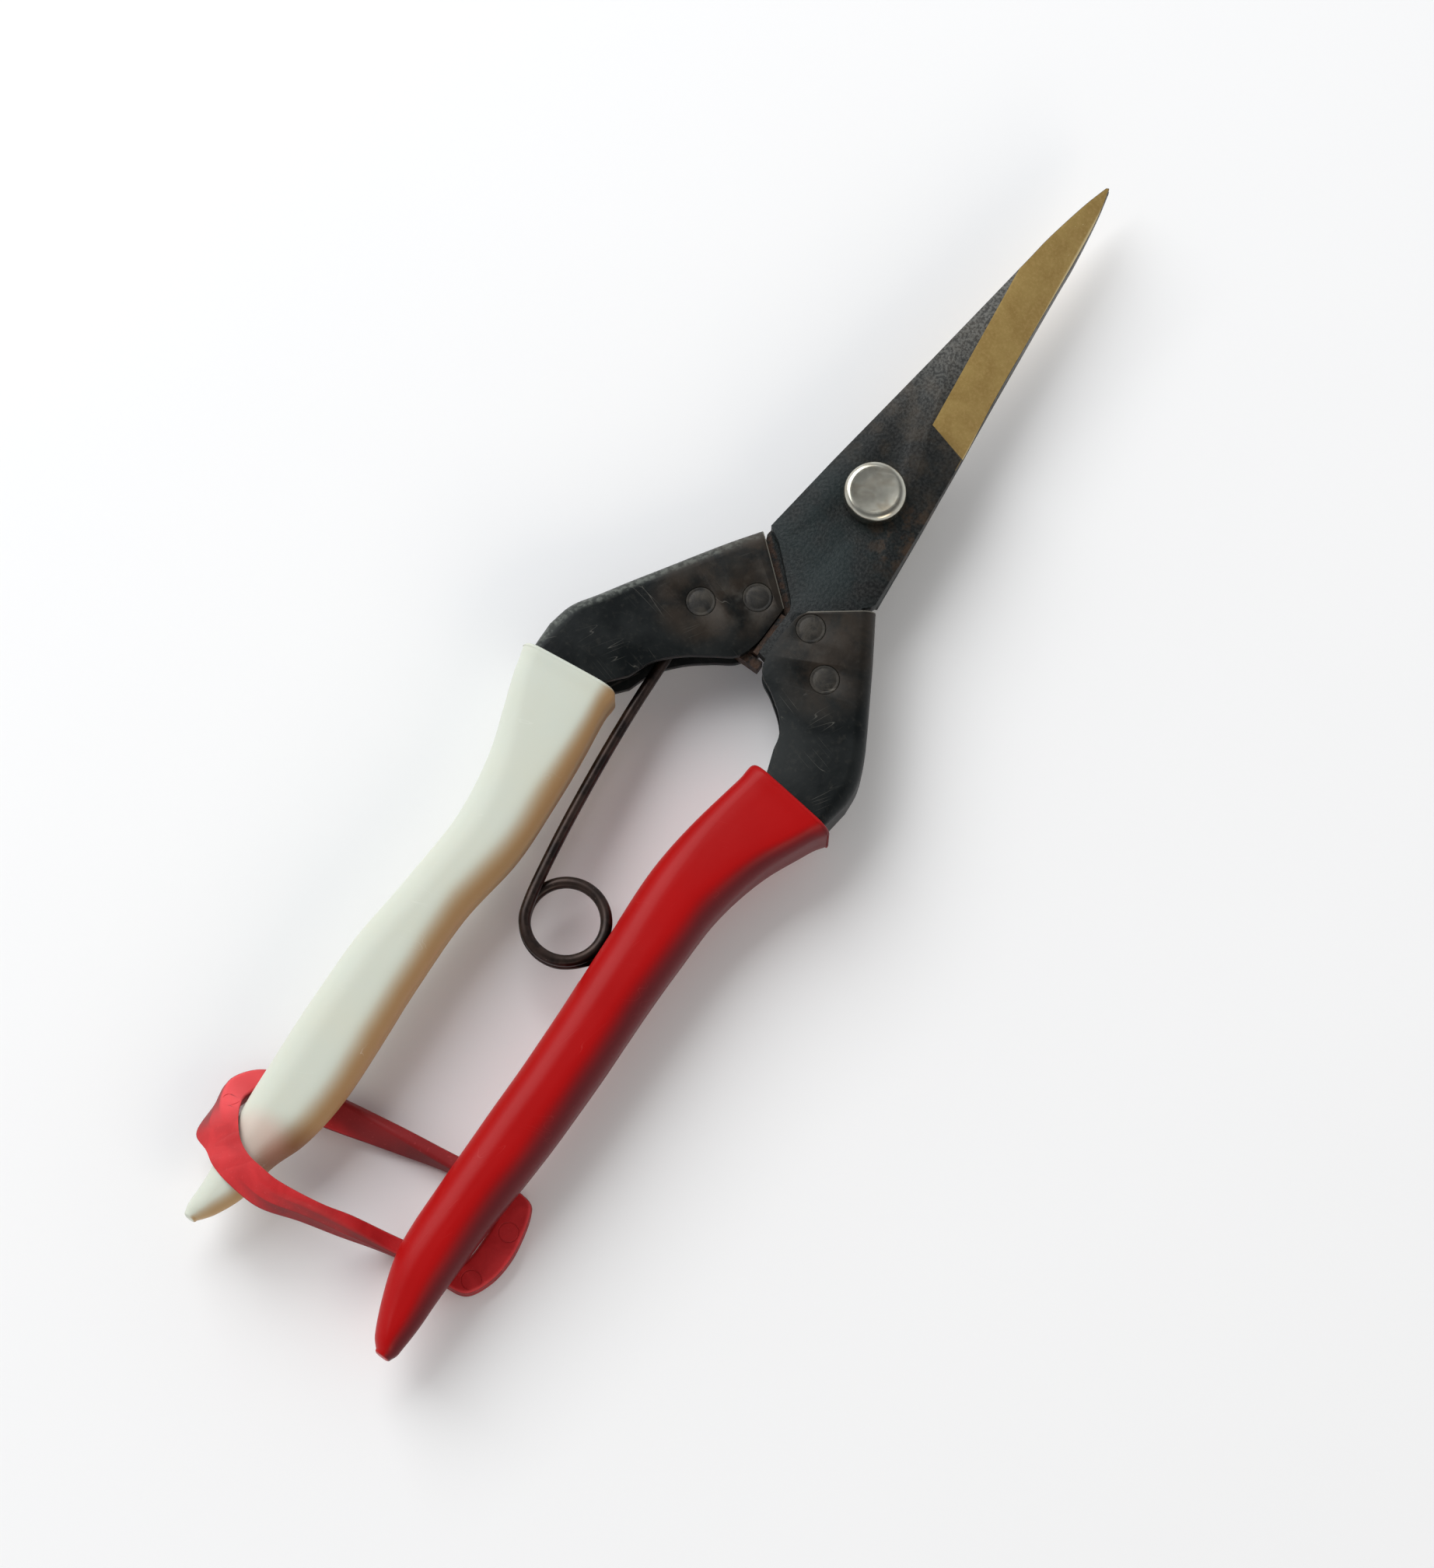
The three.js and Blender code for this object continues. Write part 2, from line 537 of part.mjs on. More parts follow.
const leftRivets = { left_upper_rivet: UPPER_RIVETS.left, left_lower_rivet: LOWER_RIVETS.left };
const rightRivets = { right_upper_rivet: UPPER_RIVETS.right, right_lower_rivet: LOWER_RIVETS.right };
for (const [name, at] of Object.entries(leftRivets)) {
  add(name, rivet(at, rearSheets), shellSteel());
}
for (const [name, at] of Object.entries(rightRivets)) {
  add(name, rivet(at, frontSheets), shellSteel());
}
const leftShell = handleShell(leftShoulderStations, whiteGripStations, Object.values(leftRivets));
const rightShell = handleShell(rightShoulderStations, redGripStations, Object.values(rightRivets));
add('left_handle_shell', leftShell, shellSteel());
add('right_handle_shell', rightShell, shellSteel());

const springSlot = box([4.0, -78.0, COIL_LOW - 1.4], [8.4, -68.5, COIL_LOW + 3.4]);
add('white_grip', grip(whiteGripStations), whiteVinyl());
add('red_grip', cut(grip(redGripStations), [springSlot]), redVinyl());
add('return_spring', returnSpring(), springSteel());
add('strap_ring', strapRing(), strapRubber());

export default group;
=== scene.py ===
"""Bypass pruner: fine surfaces, finishes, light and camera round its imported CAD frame.

Lengths are in millimetres; piece() turns a finished mesh into metres. The tip points to +Y, the red
handle is on +X, and the pivot is the Z axis.
"""
import math

import bmesh
import bpy
from mathutils import Matrix, Vector, noise


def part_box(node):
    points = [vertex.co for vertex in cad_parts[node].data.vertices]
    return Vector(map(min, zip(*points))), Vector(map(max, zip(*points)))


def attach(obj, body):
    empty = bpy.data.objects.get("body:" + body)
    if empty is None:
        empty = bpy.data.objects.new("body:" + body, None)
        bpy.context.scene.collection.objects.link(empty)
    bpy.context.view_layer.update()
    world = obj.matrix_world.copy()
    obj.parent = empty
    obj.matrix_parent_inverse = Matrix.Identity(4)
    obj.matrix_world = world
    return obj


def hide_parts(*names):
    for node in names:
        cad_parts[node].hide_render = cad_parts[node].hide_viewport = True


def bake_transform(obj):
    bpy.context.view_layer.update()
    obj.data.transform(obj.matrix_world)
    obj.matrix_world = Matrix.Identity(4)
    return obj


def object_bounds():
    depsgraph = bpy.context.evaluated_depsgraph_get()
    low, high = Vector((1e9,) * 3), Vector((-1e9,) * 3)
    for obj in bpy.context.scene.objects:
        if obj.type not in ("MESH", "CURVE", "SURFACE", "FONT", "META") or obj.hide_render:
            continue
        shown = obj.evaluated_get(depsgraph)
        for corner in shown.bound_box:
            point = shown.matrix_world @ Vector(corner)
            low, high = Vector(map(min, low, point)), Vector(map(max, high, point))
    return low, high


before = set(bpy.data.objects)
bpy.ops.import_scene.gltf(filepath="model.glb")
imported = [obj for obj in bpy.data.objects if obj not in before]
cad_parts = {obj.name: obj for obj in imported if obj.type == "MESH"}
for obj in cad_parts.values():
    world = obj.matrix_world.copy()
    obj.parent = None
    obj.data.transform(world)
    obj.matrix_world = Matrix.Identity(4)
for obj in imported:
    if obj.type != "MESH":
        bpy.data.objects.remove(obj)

MM = 0.001
cad_low, cad_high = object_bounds()


# Places that the frame gives ----------------------------------------------------------------------
def heights(node):
    """Bottom and top of a CAD node."""
    low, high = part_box(node)
    return low.z / MM, high.z / MM


def centre(node):
    """Middle of a CAD node, seen from above."""
    low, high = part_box(node)
    return Vector(((low.x + high.x) / 2, (low.y + high.y) / 2)) / MM


def half_width(node):
    """Half of a CAD node's extent along X."""
    low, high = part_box(node)
    return (high.x - low.x) / 2 / MM


FRONT_BOTTOM, FRONT_TOP = heights("front_blade")
REAR_BOTTOM = heights("rear_blade")[0]
MIDDLE = (REAR_BOTTOM + FRONT_TOP) / 2  # where the blades slide on each other
LEFT_SHEETS = heights("left_upper_rivet")  # a rivet ends flush with its shell's two faces
RIGHT_SHEETS = heights("right_upper_rivet")
HEAD_TOP = heights("pivot_bolt")[1]
TIP_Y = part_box("front_blade")[1].y / MM

# Driving dimensions -------------------------------------------------------------------------------
PLATE = 2.5  # steel of the blades
SHEET = 1.2  # pressed steel of the handle shells
EDGE_LEFT = 0.5  # steel left at the ground cutting edge
RUNNING_GAP = 0.15  # round the bolt and the rivets
RIVET_RADIUS = 2.05
RIVET_GROOVE = 0.03  # left round a peened rivet
SHANK_RADIUS = 2.5
HEAD_RADIUS, HEAD_HEIGHT = 4.3, 2.8
GRIP_WALL = 0.8
GRIP_FIT = 0.25
WIRE_RADIUS = 0.82
CORNER_STEPS = 8  # points on a quarter turn


# Curves and outlines ------------------------------------------------------------------------------
def lerp(a, b, share):
    return a + (b - a) * share


def smoothstep(value, low, high):
    share = min(max((value - low) / (high - low), 0), 1)
    return share * share * (3 - 2 * share)


def spline(points, steps, closed=False):
    """Centripetal Catmull-Rom curve through points of any dimension."""
    points = [Vector(p) for p in points]
    count = len(points)

    def at(i):
        if closed:
            return points[i % count]
        if i < 0:
            return 2 * points[0] - points[1]
        if i >= count:
            return 2 * points[-1] - points[-2]
        return points[i]

    curve = []
    for span in range(count if closed else count - 1):
        a, b, c, d = (at(span + k) for k in (-1, 0, 1, 2))
        ab, bc, cd = (max((q - p).length, 1e-6) ** 0.5 for p, q in ((a, b), (b, c), (c, d)))
        leave = ((b - a) / ab - (c - a) / (ab + bc) + (c - b) / bc) * bc
        arrive = ((c - b) / bc - (d - b) / (bc + cd) + (d - c) / cd) * bc
        for step in range(steps):
            t = step / steps
            curve.append(b + leave * t + (3 * (c - b) - 2 * leave - arrive) * t**2
                         + (2 * (b - c) + leave + arrive) * t**3)
    if not closed:
        curve.append(points[-1].copy())
    return curve


def arc(x, y, radius, start, end, steps=CORNER_STEPS):
    turns = [math.radians(lerp(start, end, i / steps)) for i in range(steps + 1)]
    return [(x + radius * math.cos(t), y + radius * math.sin(t)) for t in turns]


def bend(start, control, end, steps=10):
    """Quadratic curve without its first point."""
    a, b, c = Vector(start), Vector(control), Vector(end)
    shares = [i / steps for i in range(1, steps + 1)]
    return [tuple(a * (1 - t) ** 2 + b * 2 * t * (1 - t) + c * t * t) for t in shares]


# Meshes -------------------------------------------------------------------------------------------
def new_object(name, points, faces):
    mesh = bpy.data.meshes.new(name)
    mesh.from_pydata([tuple(p) for p in points], [], faces)
    work = bmesh.new()
    work.from_mesh(mesh)
    bmesh.ops.recalc_face_normals(work, faces=work.faces)
    work.to_mesh(mesh)
    work.free()
    made = bpy.data.objects.new(name, mesh)
    bpy.context.scene.collection.objects.link(made)
    return made


def loft(name, rings, closed=False):
    """Skin over equal rings of points, closed at its ends or into a loop."""
    count = len(rings[0])
    faces = []
    for r in range(len(rings) if closed else len(rings) - 1):
        here, there = r * count, (r + 1) % len(rings) * count
        for i in range(count):
            j = (i + 1) % count
            faces.append((here + i, here + j, there + j, there + i))
    if not closed:
        last = (len(rings) - 1) * count
        faces.append(tuple(range(count)))
        faces.append(tuple(range(last, last + count)))
    return new_object(name, [p for ring in rings for p in ring], faces)


def plate(name, outline, bottom, top):
    return loft(name, [[(x, y, z) for x, y in outline] for z in (bottom, top)])


def lathe(name, profile, at=(0, 0), steps=96):
    """Turned solid: profile is (radius, height) pairs, with its ends off the axis."""
    rings = []
    for radius, height in profile:
        turns = [2 * math.pi * i / steps for i in range(steps)]
        rings.append([(at[0] + radius * math.cos(t), at[1] + radius * math.sin(t), height) for t in turns])
    return loft(name, rings)


def post(at, radius, bottom, top, steps=64):
    return lathe("tool", [(radius, bottom), (radius, top)], at, steps)


def bake(target):
    """Puts an object's modifiers into its mesh."""
    graph = bpy.context.evaluated_depsgraph_get()
    mesh = bpy.data.meshes.new_from_object(target.evaluated_get(graph), depsgraph=graph)
    target.modifiers.clear()
    target.data = mesh


def combine(target, tools, operation="DIFFERENCE"):
    """Cuts tools out of a mesh, or joins or intersects them with it, and deletes them."""
    for tool in tools:
        modifier = target.modifiers.new("combine", "BOOLEAN")
        modifier.operation = operation
        modifier.solver = "EXACT"
        modifier.object = tool
        bake(target)
        bpy.data.objects.remove(tool)
    return target


def round_edges(target, width, angle=40):
    """Rounds every edge that turns by more than an angle, in degrees."""
    modifier = target.modifiers.new("round", "BEVEL")
    modifier.limit_method = "ANGLE"
    modifier.angle_limit = math.radians(angle)
    modifier.width = width
    modifier.segments = 2
    modifier.use_clamp_overlap = True
    bake(target)


def piece(target, body, finishes, replaced, sharp=35):
    """Scales a finished mesh to metres, smooths it, and gives it its finish and body, hiding the CAD node it
    replaces.
    """
    target.data.transform(Matrix.Scale(MM, 4))
    target.data.shade_smooth()
    target.data.set_sharp_from_angle(angle=math.radians(sharp))
    target.data.materials.clear()
    for finish in finishes:
        target.data.materials.append(finish)
    if body:
        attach(target, body)
    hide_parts(replaced)
    return target


# Node finishes ------------------------------------------------------------------------------------
def tone(red, green, blue):
    """A display colour, 0 to 255 each, as the linear colour that a shader takes."""
    return tuple((v / 255 / 12.92 if v < 10 else ((v / 255 + 0.055) / 1.055) ** 2.4)
                 for v in (red, green, blue)) + (1.0,)


class Finish:
    """One node material round a Principled shader, patterned in the object's own millimetres."""

    def __init__(self, name, **sockets):
        self.material = bpy.data.materials.new(name)
        self.material.use_nodes = True
        self.nodes = self.material.node_tree.nodes
        self.links = self.material.node_tree.links
        self.shader = self.nodes["Principled BSDF"]
        for socket, value in sockets.items():
            self.shader.inputs[socket.replace("_", " ")].default_value = value
        coordinates = self.nodes.new("ShaderNodeTexCoord")
        self.place = self.node("ShaderNodeVectorMath", "SCALE", coordinates.outputs["Object"], Scale=1 / MM)

    def node(self, kind, operation, *values, **sockets):
        made = self.nodes.new(kind)
        if operation:
            made.operation = operation
        for i, value in enumerate(values):
            self.put(made.inputs[i], value)
        for socket, value in sockets.items():
            self.put(made.inputs[socket], value)
        return made.outputs[0]

    def put(self, socket, value):
        if isinstance(value, bpy.types.NodeSocket):
            self.links.new(value, socket)
        else:
            socket.default_value = value

    def sum(self, a, b):
        return self.node("ShaderNodeMath", "ADD", a, b)

    def times(self, a, b):
        return self.node("ShaderNodeMath", "MULTIPLY", a, b)

    def most(self, a, b):
        return self.node("ShaderNodeMath", "MAXIMUM", a, b)

    def along(self, direction, origin=(0, 0, 0)):
        """Distance along a direction from an origin."""
        offset = self.node("ShaderNodeVectorMath", "SUBTRACT", self.place, origin)
        made = self.nodes.new("ShaderNodeVectorMath")
        made.operation = "DOT_PRODUCT"
        self.put(made.inputs[0], offset)
        made.inputs[1].default_value = Vector(direction).normalized()
        return made.outputs["Value"]

    def facing(self, direction):
        """1 where the surface faces a direction, 0 where it is turned a quarter turn away."""
        made = self.nodes.new("ShaderNodeVectorMath")
        made.operation = "DOT_PRODUCT"
        coordinates = self.nodes.new("ShaderNodeTexCoord")
        self.put(made.inputs[0], coordinates.outputs["Normal"])
        made.inputs[1].default_value = direction
        return made.outputs["Value"]

    def step(self, value, low, high):
        """0 below low, 1 above high, smooth between; low may be the greater."""
        made = self.nodes.new("ShaderNodeMapRange")
        made.interpolation_type = "SMOOTHSTEP"
        self.put(made.inputs["Value"], value)
        made.inputs["From Min"].default_value = min(low, high)
        made.inputs["From Max"].default_value = max(low, high)
        made.inputs["To Min"].default_value = 0 if low < high else 1
        made.inputs["To Max"].default_value = 1 if low < high else 0
        return made.outputs["Result"]

    def near(self, point, inner, outer):
        """1 within inner of a point, 0 beyond outer."""
        made = self.nodes.new("ShaderNodeVectorMath")
        made.operation = "DISTANCE"
        self.put(made.inputs[0], self.place)
        made.inputs[1].default_value = point
        return self.step(made.outputs["Value"], outer, inner)

    def noise(self, size, detail=2.0, rough=0.5, distortion=0.0, stretch=(1, 1, 1), turn=0.0, shift=0.0):
        """Cloudy pattern with features of a given size, longer along a stretched and turned axis."""
        mapping = self.nodes.new("ShaderNodeMapping")
        mapping.vector_type = "TEXTURE"
        self.put(mapping.inputs["Vector"], self.place)
        mapping.inputs["Location"].default_value = (shift, shift, shift)
        mapping.inputs["Rotation"].default_value = (0, 0, math.radians(turn))
        mapping.inputs["Scale"].default_value = [size * s for s in stretch]
        made = self.nodes.new("ShaderNodeTexNoise")
        self.put(made.inputs["Vector"], mapping.outputs[0])
        made.inputs["Scale"].default_value = 1.0
        made.inputs["Detail"].default_value = detail
        made.inputs["Roughness"].default_value = rough
        made.inputs["Distortion"].default_value = distortion
        return made.outputs[0]

    def scratches(self, turn, shift=0.0, width=0.012, length=14.0, spacing=1.6):
        """Thin straight lines in one direction, broken by a second pattern."""
        lines = self.noise(spacing, 1.0, 0.5, 0.0, (length, 1, 1), turn, shift)
        off = self.node("ShaderNodeMath", "ABSOLUTE", self.sum(lines, -0.5))
        thin = self.step(off, width, width * 0.2)
        return self.times(thin, self.step(self.noise(6.0, 2.0, shift=shift + 3), 0.55, 0.7))

    def mix(self, share, a, b):
        made = self.nodes.new("ShaderNodeMix")
        made.data_type = "RGBA"
        self.put(made.inputs["Factor"], share)
        self.put(made.inputs[6], a)
        self.put(made.inputs[7], b)
        return made.outputs[2]

    def between(self, share, a, b):
        """A plain number that goes from a to b."""
        return self.sum(self.times(share, b - a), a)

    def colour(self, value):
        self.put(self.shader.inputs["Base Color"], value)

    def roughness(self, value):
        self.put(self.shader.inputs["Roughness"], value)

    def bump(self, height, depth, strength=1.0):
        """Relief of a given depth; a second call lies on top of the first."""
        made = self.nodes.new("ShaderNodeBump")
        made.inputs["Strength"].default_value = strength
        made.inputs["Distance"].default_value = depth * MM
        self.put(made.inputs["Height"], height)
        earlier = self.shader.inputs["Normal"].links
        if earlier:
            self.links.new(earlier[0].from_socket, made.inputs["Normal"])
        self.links.new(made.outputs["Normal"], self.shader.inputs["Normal"])


def blade_finish(name, side):
    """Blackened plate with a fine leathery grain; side is 1 for the front blade and -1 for the rear."""
    f = Finish(name, Metallic=0.3, Specular_IOR_Level=0.3)
    grain = f.noise(0.42, 3.0, 0.6)
    cloud = f.noise(7.0, 3.0, 0.55)
    colour = f.mix(f.step(grain, 0.35, 0.68), tone(12, 13, 13), tone(42, 43, 42))
    colour = f.mix(f.times(f.step(cloud, 0.35, 0.7), 0.35), colour, tone(28, 32, 32))
    teal = f.times(f.near((0, -7, MIDDLE), 5, 17), f.step(cloud, 0.3, 0.6))
    colour = f.mix(f.times(teal, 0.3), colour, tone(18, 44, 46))
    brown = f.times(f.near((side * 7.5, -2, MIDDLE), 2, 9), f.step(f.noise(2.2, 3.0, 0.6), 0.45, 0.62))
    colour = f.mix(f.times(brown, 0.6), colour, tone(76, 58, 42))
    warm = f.times(f.step(f.along((0, 1, 0)), -4, 8), f.step(f.noise(3.2, 3.0, 0.6, shift=4), 0.4, 0.7))
    colour = f.mix(f.times(warm, 0.4), colour, tone(70, 61, 50))
    upper = f.times(f.step(f.along((0, 1, 0)), 6, 32), f.between(f.step(grain, 0.4, 0.6), 0.3, 1.0))
    colour = f.mix(f.times(upper, 0.7), colour, tone(112, 111, 106))
    if side < 0:
        ahead = f.along(sheet_end(LEFT_SHOULDER), (*LEFT_SHOULDER[0][:2], 0))
        rust = f.times(f.step(ahead, 1.2, 0.7), f.step(f.noise(0.9, 3.0, 0.6), 0.3, 0.6))
        colour = f.mix(f.times(rust, 0.7), colour, tone(76, 53, 38))
    f.colour(f.mix(f.step(grain, 0.72, 0.79), colour, tone(104, 106, 104)))
    f.roughness(f.between(f.noise(3.0, 3.0), 0.42, 0.6))
    f.bump(grain, 0.08, 1.0)
    f.bump(cloud, 0.15, 0.5)
    return f.material


def ground_finish(name, face_up):
    """Ground bevel: warm, faintly mottled steel, with a painted highlight as a bright line along the cutting
    edge.
    """
    f = Finish(name, Metallic=0.4, Specular_IOR_Level=0.5)
    cloud = f.noise(3.4, 4.0, 0.6, 0.4)
    fine = f.noise(0.4, 3.0, 0.65)
    colour = f.mix(f.step(cloud, 0.3, 0.72), tone(150, 122, 66), tone(164, 138, 80))
    colour = f.mix(f.times(f.step(fine, 0.4, 0.75), 0.5), colour, tone(182, 152, 96))
    edge_height = FRONT_BOTTOM + EDGE_LEFT if face_up else REAR_BOTTOM + FRONT_TOP - FRONT_BOTTOM - EDGE_LEFT
    sign = 1 if face_up else -1
    # Painted highlight: a bright line along the land of the cutting edge.
    edge = f.step(f.along((0, 0, sign), (0, 0, edge_height)), 0.12, 0.03)
    colour = f.mix(f.times(edge, 0.7), colour, tone(222, 206, 162))
    specks = f.times(f.step(f.noise(0.3, 1.0, shift=5), 0.74, 0.8), f.step(f.along((0, 1, 0)), 38, 54))
    f.colour(f.mix(specks, colour, tone(240, 226, 180)))
    f.roughness(f.between(cloud, 0.4, 0.52))
    f.bump(f.noise(0.22, 2.0, 0.6, 0.0, (9, 1, 1), -20), 0.012, 0.5)
    return f.material


def shell_finish(name, side, rivets, shoulder):
    """Blackened pressed steel: brown patina at the sheets' ends and rivets, scratches, a mottled painted
    highlight on the left fold and a painted highlight along the sheets' end edges.
    """
    f = Finish(name, Metallic=0.3, Specular_IOR_Level=0.18)
    cloud = f.noise(7.0, 4.0, 0.55, 0.3)
    fine = f.noise(0.8, 3.0, 0.6)
    colour = f.mix(f.step(cloud, 0.35, 0.68), tone(13, 17, 18), tone(30, 33, 33))
    colour = f.mix(f.times(f.step(fine, 0.5, 0.75), 0.3), colour, tone(56, 55, 51))
    # Left shell only: a mottled painted highlight on the outer fold.
    if side < 0:
        fold = f.step(f.facing(-sheet_across(shoulder)), 0.2, 0.6)
        wear_and_highlight = f.times(fold, f.between(f.step(fine, 0.4, 0.65), 0.2, 0.7))
        colour = f.mix(wear_and_highlight, colour, tone(112, 116, 110))
    patina = f.near((side * 6, -16, MIDDLE), 4, 15)
    for at in rivets:
        patina = f.most(patina, f.near((*at, MIDDLE), 4, 8))
    patina = f.times(patina, f.step(f.noise(4.6, 4.0, 0.6, 0.5, shift=2), 0.25, 0.65))
    colour = f.mix(f.times(patina, 0.5), colour, tone(64, 53, 43))
    blotches = f.step(f.noise(2.0, 2.0, shift=9), 0.45, 0.75)
    smudge = f.times(f.near((side * 6.0, -21.5, MIDDLE), 1, 6), blotches)
    colour = f.mix(f.times(smudge, 0.3), colour, tone(112, 110, 104))
    lines = f.most(f.scratches(62, 1, 0.006), f.scratches(-15, 7, 0.005))
    colour = f.mix(f.times(lines, 0.3), colour, tone(130, 128, 120))
    # Painted highlight: a lighter line along the sheets' end edges at the blade end.
    end = f.step(f.along(sheet_end(shoulder), (*shoulder[0][:2], 0)), -0.2, -0.04)
    f.colour(f.mix(f.times(end, 0.6), colour, tone(140, 136, 126)))
    f.roughness(f.between(f.step(cloud, 0.3, 0.7), 0.36, 0.5))
    f.bump(fine, 0.03, 0.5)
    f.bump(cloud, 0.25, 0.5)
    return f.material


def sheet_across(shoulder):
    """Direction from a shell's outer fold to its inner side, at the blade end."""
    outer, inner = ends(shoulder[0])
    return (inner - outer).normalized().to_3d()


def sheet_end(shoulder):
    """Direction out of a shell's blade end, across its edge."""
    across = sheet_across(shoulder)
    forward = Vector((-across.y, across.x, 0))
    return forward if forward.y > 0 else -forward


def rivet_finish(name):
    """Peened rivet end, rubbed a little lighter than the shell."""
    f = Finish(name, Metallic=0.4, Specular_IOR_Level=0.4)
    cloud = f.noise(2.2, 4.0, 0.6, 0.6)
    colour = f.mix(f.step(cloud, 0.35, 0.66), tone(30, 29, 27), tone(58, 54, 48))
    f.colour(f.mix(f.times(f.scratches(40, 4, 0.02, 10.0, 0.8), 0.5), colour, tone(120, 116, 106)))
    f.roughness(f.between(cloud, 0.38, 0.5))
    f.bump(cloud, 0.08, 0.6)
    return f.material


def polished_finish(name):
    """Polished steel with fine scratches and faint brown staining."""
    f = Finish(name, Metallic=1.0)
    stain = f.step(f.noise(2.4, 3.0, 0.55, 0.5), 0.45, 0.75)
    colour = f.mix(f.times(stain, 0.5), tone(186, 184, 172), tone(140, 124, 100))
    lines = f.most(f.scratches(25, 2, 0.02, 12.0, 0.7), f.scratches(-50, 8, 0.016, 12.0, 0.9))
    f.colour(f.mix(f.times(lines, 0.5), colour, tone(222, 220, 210)))
    f.roughness(f.between(f.noise(1.2, 3.0), 0.16, 0.3))
    f.bump(lines, 0.01, 0.5)
    return f.material


def spring_finish(name):
    """Oil-tempered wire, brown-black with fine paler specks."""
    f = Finish(name, Metallic=0.6)
    cloud = f.noise(3.0, 3.0, 0.6, 0.3)
    colour = f.mix(f.step(cloud, 0.35, 0.65), tone(26, 17, 14), tone(54, 40, 34))
    f.colour(f.mix(f.step(f.noise(0.35, 2.0), 0.68, 0.78), colour, tone(90, 76, 68)))
    f.roughness(f.between(cloud, 0.28, 0.42))
    f.bump(f.noise(0.25, 2.0), 0.01, 0.4)
    return f.material


def vinyl_finish(name, face, wall, wall_side, wear_and_highlight, gloss, spots=()):
    """Dipped vinyl: two tones on its face, a darker tone painted as shade on the wall towards wall_side,
    painted shadow and reflection spots, scratches.

    A spot is its middle, the distances where it starts and ends to fade, its share and its tone.
    """
    f = Finish(name, Specular_IOR_Level=0.12, Subsurface_Weight=0.04, Subsurface_Scale=0.002)
    f.shader.inputs["Subsurface Radius"].default_value = (1.0, 0.6, 0.4)
    cloud = f.noise(14.0, 3.0, 0.5)
    colour = f.mix(cloud, face[0], face[1])
    # Painted shade: the wall that faces wall_side takes the darker wall tone.
    wall_shade_mask = f.sum(f.facing((wall_side, 0, 0)), f.times(cloud, 0.3))
    colour = f.mix(f.step(wall_shade_mask, 0.25, 1.0), colour, wall)
    # Each spot here is painted shadow or painted reflection, as the caller gives it.
    for place, inner, outer, share, spot in spots:
        colour = f.mix(f.times(f.near(place, inner, outer), share), colour, spot)
    marks = f.most(f.scratches(20, 3, 0.004, 10.0, 2.2), f.scratches(75, 6, 0.003, 8.0, 2.6))
    f.colour(f.mix(f.times(marks, 0.2), colour, wear_and_highlight))
    f.roughness(f.between(f.noise(9.0, 4.0, 0.6), gloss, gloss + 0.14))
    f.bump(f.noise(5.0, 2.0), 0.12, 0.35)
    f.bump(f.noise(0.5, 2.0), 0.006, 0.5)
    return f.material


def rubber_finish(name):
    """Satin moulded rubber, faint flow marks: painted shade darkens its sides and the arm below the white
    handle, and a painted highlight makes its left end paler.
    """
    f = Finish(name, Specular_IOR_Level=0.35, Subsurface_Weight=0.04, Subsurface_Scale=0.002)
    f.shader.inputs["Subsurface Radius"].default_value = (1.0, 0.3, 0.2)
    flow = f.noise(4.0, 4.0, 0.6, 0.8)
    # Painted shade: faces turned away from straight up take the darker side red.
    top = f.mix(f.step(flow, 0.3, 0.7), tone(184, 26, 31), tone(202, 38, 42))
    side = f.mix(f.step(flow, 0.3, 0.7), tone(118, 16, 19), tone(140, 20, 24))
    colour = f.mix(f.step(f.facing((0, 0, 1)), 0.3, 0.75), side, top)
    # Painted shade: the arm that passes below the white handle is darker.
    arm_painted_shade = f.times(f.step(f.along((0, 1, 0)), -113, -110.5), f.step(f.along((1, 0, 0)), 14, 8))
    colour = f.mix(f.times(arm_painted_shade, 0.7), colour, tone(108, 14, 18))
    # Painted highlight: the upward faces of the left end are paler pink.
    pale = f.times(f.near((-20.5, -115, 6), 3, 9), f.step(f.facing((0, 0, 1)), 0.3, 0.7))
    colour = f.mix(f.times(pale, 0.75), colour, tone(232, 78, 82))
    f.colour(f.mix(f.times(f.step(f.noise(0.4, 2.0), 0.62, 0.75), 0.2), colour, tone(220, 84, 86)))
    f.roughness(f.between(flow, 0.46, 0.6))
    f.bump(f.noise(0.3, 2.0, 0.6), 0.012, 0.6)
    return f.material


def floor_finish():
    """Matt white board."""
    f = Finish("floor_board", Specular_IOR_Level=0.2)
    f.colour(f.mix(f.noise(60.0, 3.0), tone(247, 247, 247), tone(249, 249, 249)))
    f.roughness(f.between(f.noise(20.0, 3.0), 0.8, 0.9))
    return f.material


# Blades -------------------------------------------------------------------------------------------
CHEEK_Y = -12.45  # where the blades end and the handle shells begin


def blade_outline():
    """Front blade from above: cutting side, tang and spine."""
    cutting_side = spline([(0.1, TIP_Y), (1.0, 52.2), (1.75, 48.2), (2.8, 39.9), (3.75, 31.6), (5.0, 21.3),
                           (6.45, 12.1), (7.8, 0.8)], 8)
    spine = spline([(-5.0, 20.9), (-2.8, 39.4), (-2.4, 43.5), (-1.8, 47.6), (-1.05, 51.8),
                    (-0.25, TIP_Y - 0.25)], 8)
    tang = [(9.05, CHEEK_Y), (8.7, CHEEK_Y - 0.75), (7.9, CHEEK_Y - 1.5), (13.2, -22.4)]
    tang += bend((13.2, -22.4), (15.0, -26.2), (12.0, -28.2))
    tang += [(6.6, -29.0)]
    tang += bend((6.6, -29.0), (3.6, -29.0), (2.2, -27.6))
    tang += [(0.15, -27.1), (0.15, -20.2)]
    tang += bend((0.15, -20.2), (0.1, -19.3), (-1.2, -18.1))
    tang += [(-3.7, -15.7), (-6.7, -13.0), (-8.95, CHEEK_Y + 0.75), (-7.55, 0.8)]
    return [tuple(p) for p in cutting_side] + tang + [tuple(p) for p in spine]


